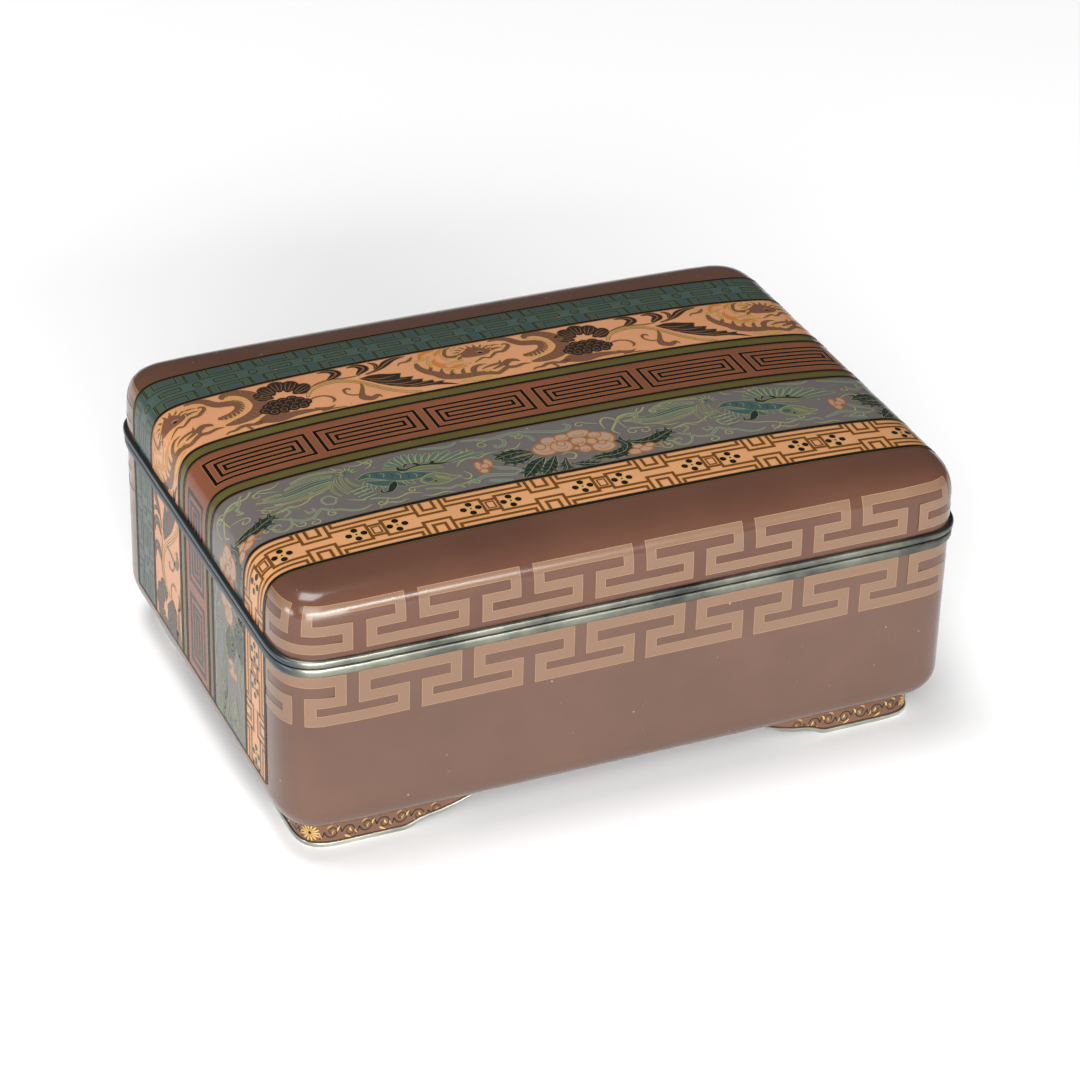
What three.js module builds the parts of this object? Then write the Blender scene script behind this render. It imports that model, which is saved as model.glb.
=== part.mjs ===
// Cloisonne enamel box: a hollow tray on four bracket feet, a hollow pillow-topped lid that lifts off,
// and a silver rim on each. Millimetres, +Z up. The origin is on the table under the middle of the box.
import * as THREE from "three";

// Plan: a rectangle with soft corners, shared by the tray, the rims and the lid.
const LENGTH = 140;
const WIDTH = 102;
const CORNER_REACH = 14;
const CORNER_POWER = 3.4;

// Heights.
const FOOT_HEIGHT = 5;
const SEAM_Z = 43.5;
const BODY_RIM_HEIGHT = 2.05;
const LID_RIM_HEIGHT = 1.7;
const LID_EDGE_HEIGHT = 13.9;
const LID_CROWN = 3.4;

// Walls and edges.
const WALL = 2;
const BODY_BOTTOM_ROUND = 6.5;
const LID_EDGE_POWER = 5.5;
const LID_CROWN_POWER = 3.4;
const RIM_PROUD = 0.5;
const LID_RIM_PROUD = 0.7;
const LIP_HEIGHT = 3;
const LIP_THICKNESS = 0.8;
const LIP_CLEARANCE = 0.3;

// Bracket feet.
const FOOT_INSET = 4.8;
const FOOT_THICKNESS = 2.2;
const FOOT_EDGE = 0.9;
const FOOT_EDGE_PROUD = 0.15;
const FRONT_ARM = 33.7;
const SIDE_ARM = 26;
// Lower contour of a foot's arm: share of the arm's run from the corner, and height over the table.
const FOOT_CONTOUR = [
  [0, 0],
  [0.6, 0],
  [0.64, 0.35],
  [0.68, 1.05],
  [0.74, 1.65],
  [0.82, 2.1],
  [0.9, 2.9],
  [0.96, 3.7],
  [1, 4.3],
];

// Fineness.
const CORNER_STEPS = 9;
const LONG_SIDE_STEPS = 6;
const SHORT_SIDE_STEPS = 4;

const HALF_LENGTH = LENGTH / 2;
const HALF_WIDTH = WIDTH / 2;
const CORE_X = HALF_LENGTH - CORNER_REACH;
const CORE_Y = HALF_WIDTH - CORNER_REACH;

// Direction from a corner's centre to the outline, at an angle from the X axis, for a reach of one.
function cornerDirection(angle) {
  const c = Math.abs(Math.cos(angle));
  const s = Math.abs(Math.sin(angle));
  const scale = (c ** CORNER_POWER + s ** CORNER_POWER) ** (-1 / CORNER_POWER);
  return [Math.cos(angle) * scale, Math.sin(angle) * scale];
}

// Stations round the plan, anticlockwise: each is a point on the core rectangle and a direction outwards.
function planStations() {
  const stations = [];
  const corners = [
    [1, 1],
    [-1, 1],
    [-1, -1],
    [1, -1],
  ];
  corners.forEach(([sx, sy], quarter) => {
    const start = (quarter * Math.PI) / 2;
    for (let i = 0; i <= CORNER_STEPS; i++) {
      const [dx, dy] = cornerDirection(start + (i / CORNER_STEPS) * (Math.PI / 2));
      stations.push({ x: sx * CORE_X, y: sy * CORE_Y, dx, dy });
    }
    const [nx, ny] = corners[(quarter + 1) % 4];
    const steps = quarter % 2 === 0 ? LONG_SIDE_STEPS : SHORT_SIDE_STEPS;
    const dx = quarter === 1 ? -1 : quarter === 3 ? 1 : 0;
    const dy = quarter === 0 ? 1 : quarter === 2 ? -1 : 0;
    for (let i = 1; i < steps; i++) {
      const t = i / steps;
      stations.push({
        x: THREE.MathUtils.lerp(sx * CORE_X, nx * CORE_X, t),
        y: THREE.MathUtils.lerp(sy * CORE_Y, ny * CORE_Y, t),
        dx,
        dy,
      });
    }
  });
  return stations;
}

const STATIONS = planStations();

// A closed ring round the plan, offset outwards from the outline, at a height given by heightAt(x, y).
function ring(offset, heightAt) {
  return STATIONS.map(({ x, y, dx, dy }) => {
    const px = x + dx * (CORNER_REACH + offset);
    const py = y + dy * (CORNER_REACH + offset);
    return new THREE.Vector3(px, py, heightAt(px, py));
  });
}

// A ring on the flat middle of the plan: the core rectangle shrunk towards the centre.
function coreRing(scale, heightAt) {
  return STATIONS.map(({ x, y }, i) => {
    // The stations of one corner share its core point, so they are spread over a small arc.
    const { dx, dy } = STATIONS[i];
    const px = x * scale + dx * scale;
    const py = y * scale + dy * scale;
    return new THREE.Vector3(px, py, heightAt(px, py));
  });
}

function geometryOf(points, triangles) {
  const positions = new Float32Array(points.length * 3);
  points.forEach((p, i) => p.toArray(positions, i * 3));
  const geometry = new THREE.BufferGeometry();
  geometry.setAttribute("position", new THREE.BufferAttribute(positions, 3));
  geometry.setIndex(triangles);
  geometry.computeVertexNormals();
  return geometry;
}

// Joins rings one after the other. A closed stack runs back to its first ring; an open one is capped at
// both ends by a fan to a middle point. The rings run up the outside first, so the faces point outwards.
function stackOfRings(rings, caps) {
  const count = rings[0].length;
  const points = rings.flat();
  const triangles = [];
  const bands = caps ? rings.length - 1 : rings.length;
  for (let r = 0; r < bands; r++) {
    const low = r * count;
    const high = ((r + 1) % rings.length) * count;
    for (let i = 0; i < count; i++) {
      const j = (i + 1) % count;
      triangles.push(low + i, low + j, high + j, low + i, high + j, high + i);
    }
  }
  if (caps) {
    const first = points.push(caps[0]) - 1;
    const last = points.push(caps[1]) - 1;
    const top = (rings.length - 1) * count;
    for (let i = 0; i < count; i++) {
      const j = (i + 1) % count;
      triangles.push(first, j, i, last, top + i, top + j);
    }
  }
  return geometryOf(points, triangles);
}

const level = (z) => () => z;

// Tray: outside from the middle of its underside up to the rim, then down the inside to its floor.
function bodyShell() {
  const rings = [];
  const steps = 7;
  const top = SEAM_Z - BODY_RIM_HEIGHT;
  for (let i = 0; i <= steps; i++) {
    const angle = (i / steps) * (Math.PI / 2);
    const inset = BODY_BOTTOM_ROUND * (1 - Math.sin(angle));
    const rise = BODY_BOTTOM_ROUND * (1 - Math.cos(angle));
    rings.push(ring(-inset, level(FOOT_HEIGHT + rise)));
  }
  rings.push(ring(0, level(top)), ring(-WALL, level(top)));
  const round = BODY_BOTTOM_ROUND - WALL;
  for (let i = steps; i >= 0; i--) {
    const angle = (i / steps) * (Math.PI / 2);
    const inset = WALL + round * (1 - Math.sin(angle));
    const rise = WALL + round * (1 - Math.cos(angle));
    rings.push(ring(-inset, level(FOOT_HEIGHT + rise)));
  }
  const under = new THREE.Vector3(0, 0, FOOT_HEIGHT);
  const floor = new THREE.Vector3(0, 0, FOOT_HEIGHT + WALL);
  return stackOfRings(rings, [under, floor]);
}

// Height of the lid's skin over a point of the plan; inset is how far inside the outer skin it lies.
function lidHeight(x, y, inset) {
  const reach = CORNER_REACH - inset;
  const a = Math.max(0, Math.abs(x) - CORE_X) / reach;
  const b = Math.max(0, Math.abs(y) - CORE_Y) / reach;
  const out = Math.min(1, (a ** CORNER_POWER + b ** CORNER_POWER) ** (1 / CORNER_POWER));
  const edge = (1 - out ** LID_EDGE_POWER) ** (1 / LID_EDGE_POWER);
  const crownX = Math.max(0, 1 - (Math.abs(x) / HALF_LENGTH) ** LID_CROWN_POWER);
  const crownY = Math.max(0, 1 - (Math.abs(y) / HALF_WIDTH) ** LID_CROWN_POWER);
  return SEAM_Z + (LID_EDGE_HEIGHT - inset) * edge + LID_CROWN * crownX * crownY;
}

// The lid's skin as rings from its lower edge to near its middle.
function lidSkin(inset) {
  const bottom = SEAM_Z + LID_RIM_HEIGHT;
  const skin = (x, y) => Math.max(bottom, lidHeight(x, y, inset));
  const rings = [ring(-inset, level(bottom))];
  const shares = [0.999, 0.993, 0.98, 0.96, 0.93, 0.89, 0.83, 0.75, 0.6, 0.4];
  const reach = CORNER_REACH - inset;
  for (const share of shares) rings.push(ring(-inset - reach * (1 - share), skin));
  for (const scale of [1, 0.8, 0.55, 0.3]) rings.push(coreRing(scale, skin));
  return rings;
}

function lidShell() {
  const inside = lidSkin(WALL);
  const rings = [...inside.reverse(), ...lidSkin(0)];
  const ceiling = new THREE.Vector3(0, 0, lidHeight(0, 0, WALL));
  const summit = new THREE.Vector3(0, 0, lidHeight(0, 0, 0));
  return stackOfRings(rings, [ceiling, summit]);
}

// A rim is one section carried round the plan: pairs of outward offset and height, outside face first.
function rim(section) {
  return stackOfRings(section.map(([offset, z]) => ring(offset, level(z))));
}

function bodyRim() {
  const low = SEAM_Z - BODY_RIM_HEIGHT;
  const lipOut = -WALL - LIP_CLEARANCE;
  const lipIn = lipOut - LIP_THICKNESS;
  return rim([
    [0, low],
    [RIM_PROUD * 0.7, low + 0.2],
    [RIM_PROUD, low + 0.6],
    [RIM_PROUD, SEAM_Z - 0.75],
    [RIM_PROUD * 0.7, SEAM_Z - 0.3],
    [0, SEAM_Z - 0.08],
    [-0.5, SEAM_Z],
    [lipOut, SEAM_Z],
    [lipOut, SEAM_Z + LIP_HEIGHT - 0.3],
    [lipOut - 0.25, SEAM_Z + LIP_HEIGHT],
    [lipIn, SEAM_Z + LIP_HEIGHT],
    [lipIn, low],
    [-WALL, low],
  ]);
}

function lidRim() {
  const high = SEAM_Z + LID_RIM_HEIGHT;
  return rim([
    [-WALL, SEAM_Z],
    [-0.5, SEAM_Z],
    [0, SEAM_Z + 0.08],
    [LID_RIM_PROUD * 0.7, SEAM_Z + 0.25],
    [LID_RIM_PROUD, SEAM_Z + 0.6],
    [LID_RIM_PROUD, high - 0.6],
    [LID_RIM_PROUD * 0.6, high - 0.2],
    [0, high],
    [-WALL, high],
  ]);
}

function contourHeight(share) {
  const next = FOOT_CONTOUR.findIndex(([s]) => s >= share);
  if (next <= 0) return FOOT_CONTOUR[0][1];
  const [s0, h0] = FOOT_CONTOUR[next - 1];
  const [s1, h1] = FOOT_CONTOUR[next];
  return THREE.MathUtils.mapLinear(share, s0, s1, h0, h1);
}

// Stations along one foot, from the tip of its long arm round the corner to the tip of its side arm.
function footStations() {
  const cornerX = HALF_LENGTH - FOOT_INSET;
  const cornerY = HALF_WIDTH - FOOT_INSET;
  const stations = [];
  const steps = FOOT_CONTOUR.map(([share]) => share).filter((share) => share > 0);
  for (const share of [...steps].reverse()) {
    stations.push({ x: cornerX - share * FRONT_ARM, y: CORE_Y, dx: 0, dy: 1, low: contourHeight(share) });
  }
  for (let i = CORNER_STEPS; i >= 0; i--) {
    const [dx, dy] = cornerDirection((i / CORNER_STEPS) * (Math.PI / 2));
    stations.push({ x: CORE_X, y: CORE_Y, dx, dy, low: 0 });
  }
  for (const share of steps) {
    stations.push({ x: CORE_X, y: cornerY - share * SIDE_ARM, dx: 1, dy: 0, low: contourHeight(share) });
  }
  return stations;
}

const FOOT_STATIONS = footStations();

// Height of the join between a foot's enamelled panel and its silver edge.
function joinHeight(low) {
  return low + FOOT_EDGE * (1 - (low / FOOT_HEIGHT) ** 2 * 0.7);
}

// A strip along the foot's path: outer and inner offsets from the plan outline, and two heights.
function footStrip(outer, inner, lowOf, highOf, sx, sy) {
  const points = [];
  const triangles = [];
  FOOT_STATIONS.forEach(({ x, y, dx, dy, low }) => {
    const corners = [
      [outer, lowOf(low)],
      [outer, highOf(low)],
      [inner, highOf(low)],
      [inner, lowOf(low)],
    ];
    for (const [offset, z] of corners) {
      const reach = CORNER_REACH + offset;
      points.push(new THREE.Vector3(sx * (x + dx * reach), sy * (y + dy * reach), z));
    }
  });
  const last = (FOOT_STATIONS.length - 1) * 4;
  const flip = sx * sy < 0;
  const face = (a, b, c) => (flip ? triangles.push(a, c, b) : triangles.push(a, b, c));
  for (let s = 0; s < last; s += 4) {
    for (let i = 0; i < 4; i++) {
      const j = (i + 1) % 4;
      face(s + i, s + j, s + 4 + j);
      face(s + i, s + 4 + j, s + 4 + i);
    }
  }
  face(0, 2, 1);
  face(0, 3, 2);
  face(last, last + 1, last + 2);
  face(last, last + 2, last + 3);
  return geometryOf(points, triangles);
}

const brownEnamel = { color: 0x6a4638, roughness: 0.18, metalness: 0 };
const silver = { color: 0xa8afae, roughness: 0.32, metalness: 1 };

const root = new THREE.Group();
root.name = "cloisonne_box";

function add(name, geometry, look) {
  const mesh = new THREE.Mesh(geometry, new THREE.MeshStandardMaterial(look));
  mesh.name = name;
  root.add(mesh);
}

add("body_shell", bodyShell(), brownEnamel);
add("body_rim", bodyRim(), silver);
add("lid_rim", lidRim(), silver);
add("lid_shell", lidShell(), brownEnamel);

const feet = [
  ["front_left", -1, -1],
  ["front_right", 1, -1],
  ["back_right", 1, 1],
  ["back_left", -1, 1],
];
for (const [place, sx, sy] of feet) {
  const out = -FOOT_INSET;
  const back = -FOOT_INSET - FOOT_THICKNESS;
  add(
    `foot_${place}`,
    footStrip(out, back, joinHeight, () => FOOT_HEIGHT, sx, sy),
    brownEnamel,
  );
  add(
    `foot_edge_${place}`,
    footStrip(out + FOOT_EDGE_PROUD, back - FOOT_EDGE_PROUD, (low) => low, joinHeight, sx, sy),
    silver,
  );
}

export default root;
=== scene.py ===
"""A cloisonne enamel box: tray, lift-off lid, silver rims and bracket feet, with its enamel and wires inlaid.

Patterns are drawn flat in millimetres, scored where the box bends, and laid on its skin.
"""

import math

import bmesh
import bpy
import numpy as np
from mathutils import Matrix, Vector


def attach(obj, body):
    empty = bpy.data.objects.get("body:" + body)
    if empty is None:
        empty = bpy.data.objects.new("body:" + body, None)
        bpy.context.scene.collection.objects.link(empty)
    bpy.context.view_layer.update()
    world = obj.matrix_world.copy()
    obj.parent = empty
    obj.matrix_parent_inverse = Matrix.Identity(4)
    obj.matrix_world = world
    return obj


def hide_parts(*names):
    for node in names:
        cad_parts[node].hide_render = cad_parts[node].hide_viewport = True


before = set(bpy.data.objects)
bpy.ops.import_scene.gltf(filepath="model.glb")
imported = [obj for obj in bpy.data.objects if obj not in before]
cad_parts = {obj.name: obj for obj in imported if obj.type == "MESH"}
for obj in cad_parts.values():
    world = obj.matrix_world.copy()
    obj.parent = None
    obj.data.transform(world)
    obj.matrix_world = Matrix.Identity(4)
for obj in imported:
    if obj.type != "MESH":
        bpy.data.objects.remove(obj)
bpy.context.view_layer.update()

MM = 0.001

# The box's own dimensions, in millimetres, as in the solids.
HALF_LENGTH, HALF_WIDTH = 70.0, 51.0
CORNER_REACH, CORNER_POWER = 14.0, 3.4
CORE_X, CORE_Y = HALF_LENGTH - CORNER_REACH, HALF_WIDTH - CORNER_REACH
FOOT_HEIGHT, SEAM = 5.0, 43.5
TRAY_TOP, LID_BOTTOM = SEAM - 2.05, SEAM + 1.7
LID_RISE, LID_CROWN = 13.9, 3.4
LID_EDGE_POWER, LID_CROWN_POWER = 5.5, 3.4
WALL, BOTTOM_ROUND = 2.0, 6.5
FOOT_INSET, FOOT_THICKNESS, FOOT_EDGE, FOOT_EDGE_PROUD = 4.8, 2.2, 0.9, 0.15
FRONT_ARM, SIDE_ARM = 33.7, 26.0
# Along a foot's arm, from the corner to the tip: share of its length, height of its lower contour.
FOOT_STEPS = [(0, 0), (0.6, 0), (0.64, 0.35), (0.68, 1.05), (0.74, 1.65), (0.82, 2.1), (0.9, 2.9)]
FOOT_CONTOUR = np.array(FOOT_STEPS + [(0.96, 3.7), (1, 4.3)])

# The enamel skin lies this far inside the solid, which leaves room for the inlays.
SKIN = 0.12
# How far each layer of the inlay stands over the skin.
GROUND, FIGURE, WIRE = 0.02, 0.035, 0.1
LAYER = 0.006

# Bands over the lid and down both ends, with the places across the box where each begins and stops.
BANDS = {
    "flower": (-38.75, -27.8),
    "mauve": (-27.8, -9.2),
    "olive_front": (-9.2, -6.3),
    "rust": (-6.3, 7.0),
    "olive_back": (7.0, 10.0),
    "peach": (10.0, 27.1),
    "teal": (27.1, 38.3),
}
BAND_DROP = 31.45  # the bands end this far under the seam


# ------------------------------------------------------------------ surfaces


def squircle(angle, power):
    """Point of a soft square at an angle: across and up."""
    c, s = np.abs(np.cos(angle)), np.abs(np.sin(angle))
    size = (c**power + s**power) ** (-1 / power)
    return c * size, s * size


def run_of(points):
    """Length along a line of points, from its start."""
    return np.concatenate([[0], np.cumsum(np.linalg.norm(np.diff(points, axis=0), axis=1))])


def crown(x, y):
    """How far the lid's top swells at a place."""
    across = np.clip(1 - (np.abs(x) / HALF_LENGTH) ** LID_CROWN_POWER, 0, None)
    along = np.clip(1 - (np.abs(y) / HALF_WIDTH) ** LID_CROWN_POWER, 0, None)
    return LID_CROWN * across * along


def lid_section():
    """The lid's section along X, from its middle to the seam: its line, share of reach and share of rise."""
    flat_points, round_points = 400, 3000
    out, rise = squircle(np.linspace(math.pi / 2, 0, round_points), LID_EDGE_POWER)
    flat = np.linspace(0, CORE_X, flat_points)[:-1]
    x = np.concatenate([flat, CORE_X + CORNER_REACH * out])
    share_out = np.concatenate([np.zeros_like(flat), out])
    share_up = np.concatenate([np.ones_like(flat), rise])
    return np.stack([x, LID_RISE * share_up + crown(x, 0 * x)], axis=1), share_out, share_up


SECTION_LINE, SECTION_OUT, SECTION_RISE = lid_section()
SECTION_X, SECTION_RUN = SECTION_LINE[:, 0], run_of(SECTION_LINE)
SEAM_RUN = float(SECTION_RUN[-1])
BAND_END = SEAM_RUN + BAND_DROP
RIM_GAP = (SEAM_RUN - 1.75, SEAM_RUN + 2.1)


def plan_line(offset):
    """Half of the plan's outline from the middle of the front, at an offset: run, core points, directions."""
    flat_points, round_points = 60, 400
    lead = np.linspace(0, CORE_X, flat_points)[:-1]
    side = np.linspace(-CORE_Y, 0, flat_points)[1:]
    out, forward = squircle(np.linspace(0, math.pi / 2, round_points), CORNER_POWER)
    core = [(x, -CORE_Y) for x in lead] + [(CORE_X, -CORE_Y)] * round_points + [(CORE_X, y) for y in side]
    way = [(0, -1)] * len(lead) + list(zip(forward, -out)) + [(1, 0)] * len(side)
    core, way = np.array(core), np.array(way)
    return run_of(core + way * (CORNER_REACH + offset)), core, way


def plan_place(line, run, reach):
    """Where a plan line is at a run along it, this far out from its core: x and y."""
    runs, core, way = line
    return (np.interp(run, runs, core[:, i]) + np.interp(run, runs, way[:, i]) * reach for i in (0, 1))


PLAN, FOOT_PLAN = plan_line(0), plan_line(-FOOT_INSET)
PLAN_RUN, PLAN_CORE, PLAN_WAY = PLAN
FOOT_RUN, _, FOOT_WAY = FOOT_PLAN
PLAN_OUTLINE = PLAN_CORE + PLAN_WAY * CORNER_REACH


def over_the_box(u, v, inset):
    """u runs along X over the lid and down an end, v across the box."""
    run, side = np.abs(u), np.where(u < 0, -1.0, 1.0)
    share = np.interp(run, SECTION_RUN, SECTION_OUT)
    flat = np.interp(run, SECTION_RUN, np.minimum(SECTION_X, CORE_X))
    x = flat + (CORNER_REACH - inset) * share
    z = SEAM + (LID_RISE - inset) * np.interp(run, SECTION_RUN, SECTION_RISE)
    z = z + crown(flat + CORNER_REACH * share, v)
    down = run > SEAM_RUN
    x = np.where(down, HALF_LENGTH - inset, x)
    z = np.where(down, SEAM - (run - SEAM_RUN), z)
    return np.stack([side * x, v, z], axis=1)


def round_the_wall(s, h, inset):
    """s runs round the plan from the middle of the front, h up the lid from the seam, or down the tray."""
    run, side = np.abs(s), np.where(s < 0, -1.0, 1.0)
    at = SEAM_RUN - np.clip(h, 0, None)
    x, y = plan_place(PLAN, run, (CORNER_REACH - inset) * np.interp(at, SECTION_RUN, SECTION_OUT))
    rise = (LID_RISE - inset) * np.interp(at, SECTION_RUN, SECTION_RISE)
    z = np.where(h > 0, SEAM + rise + crown(x, y), SEAM + h)
    return np.stack([side * x, y, z], axis=1)


def round_the_back(s, h, inset):
    """The same, from the middle of the back."""
    return round_the_wall(s, h, inset) * (-1, -1, 1)


def on_a_foot(side_x, side_y):
    """One foot: s runs round its outside from the middle of that side of the box, h up from the table."""

    def chart(s, h, inset):
        x, y = plan_place(FOOT_PLAN, s, CORNER_REACH - FOOT_INSET - inset)
        return np.stack([side_x * x, -side_y * y, h], axis=1)

    return chart


def scores(run, line, least=0.35, most=4.0):
    """Where a line has to be scored so that straight steps stay close to it."""
    sag = 0.005
    steps = np.diff(line, axis=0)
    turn = np.unwrap(np.arctan2(steps[:, 1], steps[:, 0]))
    bend = np.abs(np.gradient(turn, run[:-1] + 1e-9 * np.arange(len(turn))))
    places, at = [0.0], 0.0
    while at < run[-1]:
        k = np.interp(at, run[:-1], bend)
        at += float(np.clip(math.sqrt(8 * sag / max(k, 1e-6)), least, most))
        places.append(at)
    return [p for p in places if p < run[-1]]


def both_sides(places):
    """The places, and the same ones on the other side of the middle."""
    return sorted({-p for p in places} | set(places))


OVER_SCORES = both_sides(scores(SECTION_RUN, SECTION_LINE))
CROSS_SCORES = list(np.arange(-37.5, 38, 2.5))
PLAN_SCORES = both_sides(scores(PLAN_RUN, PLAN_OUTLINE, most=7.0))
RISE_SCORES = [SEAM_RUN - p for p in OVER_SCORES if p > CORE_X]


# ------------------------------------------------------------------ flat drawing


def smooth(points, steps=6, closed=False):
    """A soft curve through points of any width (Catmull-Rom)."""
    p = np.asarray(points, float)
    if closed:
        p = np.vstack([p[-1], p, p[0], p[1]])
    else:
        p = np.vstack([2 * p[0] - p[1], p, 2 * p[-1] - p[-2]])
    out = []
    for a, b, c, d in zip(p[:-3], p[1:-2], p[2:-1], p[3:]):
        for t in np.arange(steps) / steps:
            square, cube = 2 * a - 5 * b + 4 * c - d, 3 * b - a - 3 * c + d
            out.append(0.5 * (2 * b + (c - a) * t + square * t * t + cube * t**3))
    if not closed:
        out.append(p[-2])
    return np.array(out)


def heading(first, second):
    """The direction from one place to another."""
    dx, dy = second[0] - first[0], second[1] - first[1]
    size = math.hypot(dx, dy) or 1
    return dx / size, dy / size


def rectangle(left, right, low, high):
    return [(left, low), (right, low), (right, high), (left, high)]


def oval(x, y, wide, tall, sides=14, turn=0.0):
    """A closed round path, turned about its middle."""
    angle = np.arange(sides) / sides * 2 * math.pi
    flat = np.stack([wide * np.cos(angle), tall * np.sin(angle)], axis=1)
    c, s = math.cos(turn), math.sin(turn)
    return flat @ np.array([[c, s], [-s, c]]) + (x, y)


def level(step):
    """The lift of one of a figure's layers."""
    return FIGURE + step * LAYER


def ribbon(bm, path, width, lift, slot=0, closed=False):
    """A flat strip one face wide, bent along a path with mitred corners."""
    path = np.asarray(path, float)
    if closed:
        before, after = np.roll(path, 1, axis=0), np.roll(path, -1, axis=0)
    else:
        before = np.vstack([2 * path[0] - path[1], path[:-1]])
        after = np.vstack([path[1:], 2 * path[-1] - path[-2]])
    ways = []
    for step in (path - before, after - path):
        length = np.maximum(np.linalg.norm(step, axis=1, keepdims=True), 1e-9)
        ways.append(np.stack([-step[:, 1], step[:, 0]], axis=1) / length)
    mitre = (ways[0] + ways[1]) / np.maximum(1 + np.sum(ways[0] * ways[1], axis=1, keepdims=True), 0.35)
    half = np.broadcast_to(np.asarray(width, float), (len(path),))[:, None] / 2
    left, right = path + mitre * half, path - mitre * half
    if closed:
        left, right = np.vstack([left, left[0]]), np.vstack([right, right[0]])
    last = len(left) - 1
    strip = bmesh.ops.create_grid(bm, x_segments=last, y_segments=1, size=1)["verts"]
    for vert in strip:
        i = round((vert.co.x + 1) / 2 * last)
        vert.co = (*(left if vert.co.y > 0 else right)[i], lift)
    for face in {f for vert in strip for f in vert.link_faces}:
        face.material_index = slot


def edged(bm, path, widths, low, slots, closed=False):
    """A line with an edge: a wide strip, with a narrower one a layer over it."""
    for step, (width, slot) in enumerate(zip(widths, slots)):
        ribbon(bm, path, width, level(low + step), slot, closed)


def stroke(bm, points, lift, slot=0, steps=6, grow=0.0):
    """A brush stroke through (x, y, width) points."""
    line = smooth(points, steps)
    ribbon(bm, line[:, :2], np.maximum(line[:, 2] + grow, 0.05), lift, slot)


def outlined(bm, strokes, low, slot, line_slot, grow=0.34, high=None):
    """Brush strokes with a line round them, which lies a layer lower."""
    for points in strokes:
        stroke(bm, points, level(low), line_slot, grow=grow)
    for points in strokes:
        stroke(bm, points, level(low + 1 if high is None else high), slot)


def patch(bm, outline, lift, slot=0):
    """A flat shape filled inside its outline, which runs anticlockwise or clockwise."""
    face = bm.faces.new([bm.verts.new((x, y, lift)) for x, y in outline])
    face.normal_update()
    if face.normal.z < 0:
        face.normal_flip()
    face.material_index = slot


def spot(bm, x, y, radius, lift, slot=0, sides=12):
    """A filled circle."""
    made = bmesh.ops.create_circle(bm, cap_ends=True, segments=sides, radius=radius)["verts"]
    bmesh.ops.translate(bm, verts=made, vec=(x, y, lift))
    for face in {f for vert in made for f in vert.link_faces}:
        if face.normal.z < 0:
            face.normal_flip()
        face.material_index = slot


def teeth(bm, line, count, length, width, lift, slot, lean):
    """Small pointed teeth along a curve, on its right, leaning along it."""
    path = smooth([(x, y, 0) for x, y in line], 10)[:, :2]
    run = run_of(path)
    for at in np.linspace(0, run[-1] * 0.98, count):
        x, y = (np.interp(at, run, path[:, i]) for i in (0, 1))
        dx, dy = heading((x, y), [np.interp(min(at + 0.3, run[-1]), run, path[:, i]) for i in (0, 1)])
        tip = (x + length * (dy + lean * dx), y + length * (-dx + lean * dy))
        half = width / 2
        patch(bm, [(x - dx * half, y - dy * half), (x + dx * half, y + dy * half), tip], lift, slot)


def mesh_of(name, bm):
    mesh = bpy.data.meshes.new(name)
    bm.to_mesh(mesh)
    bm.free()
    return mesh


def tile_of(draw):
    """A drawing kept as a mesh, so that it can be stamped."""
    bm = bmesh.new()
    draw(bm)
    return mesh_of("tile", bm)


def stamp(bm, tile, offsets, flip=False):
    """Repeats a drawn tile at each offset; flip turns it over across its middle line."""
    for x, y in offsets:
        before = len(bm.verts)
        bm.from_mesh(tile)
        bm.verts.ensure_lookup_table()
        new = bm.verts[before:]
        if flip:
            bmesh.ops.scale(bm, verts=new, vec=(1, -1, 1))
            bmesh.ops.reverse_faces(bm, faces=list({f for v in new for f in v.link_faces}))
        bmesh.ops.translate(bm, verts=new, vec=(x, y, 0))


def cut(bm, axis, limit, sign=1, clear=False):
    """Cuts the drawing along a straight line, and clears away what lies past it if asked."""
    place, way = Vector((0, 0, 0)), Vector((0, 0, 0))
    place[axis], way[axis] = limit, sign
    geometry = bm.verts[:] + bm.edges[:] + bm.faces[:]
    bmesh.ops.bisect_plane(bm, geom=geometry, dist=1e-5, plane_co=place, plane_no=way, clear_outer=clear)


def trim(bm, axis, low, high):
    """Cuts away what lies outside two limits."""
    cut(bm, axis, low, -1, clear=True)
    cut(bm, axis, high, 1, clear=True)


def score(bm, axis, places):
    """Scores the drawing with straight lines, so that it can bend there."""
    at = [v.co[axis] for v in bm.verts]
    low, high = min(at) + 1e-3, max(at) - 1e-3
    for limit in places:
        if low < limit < high:
            cut(bm, axis, limit)


def clear_faces(bm, unwanted):
    """Takes out the faces whose middles are unwanted."""
    chosen = [face for face in bm.faces if unwanted(face.calc_center_median())]
    bmesh.ops.delete(bm, geom=chosen, context="FACES")


def link_object(name, data):
    linked = bpy.data.objects.new(name, data)
    bpy.context.scene.collection.objects.link(linked)
    return linked


def finish_piece(name, mesh, materials, replaced=()):
    """Makes a piece of a finished mesh and says what it is to the frame."""
    piece = link_object(name, mesh)
    for material in materials:
        mesh.materials.append(material)
    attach(piece, "root")
    if replaced:
        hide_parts(*replaced)


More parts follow.
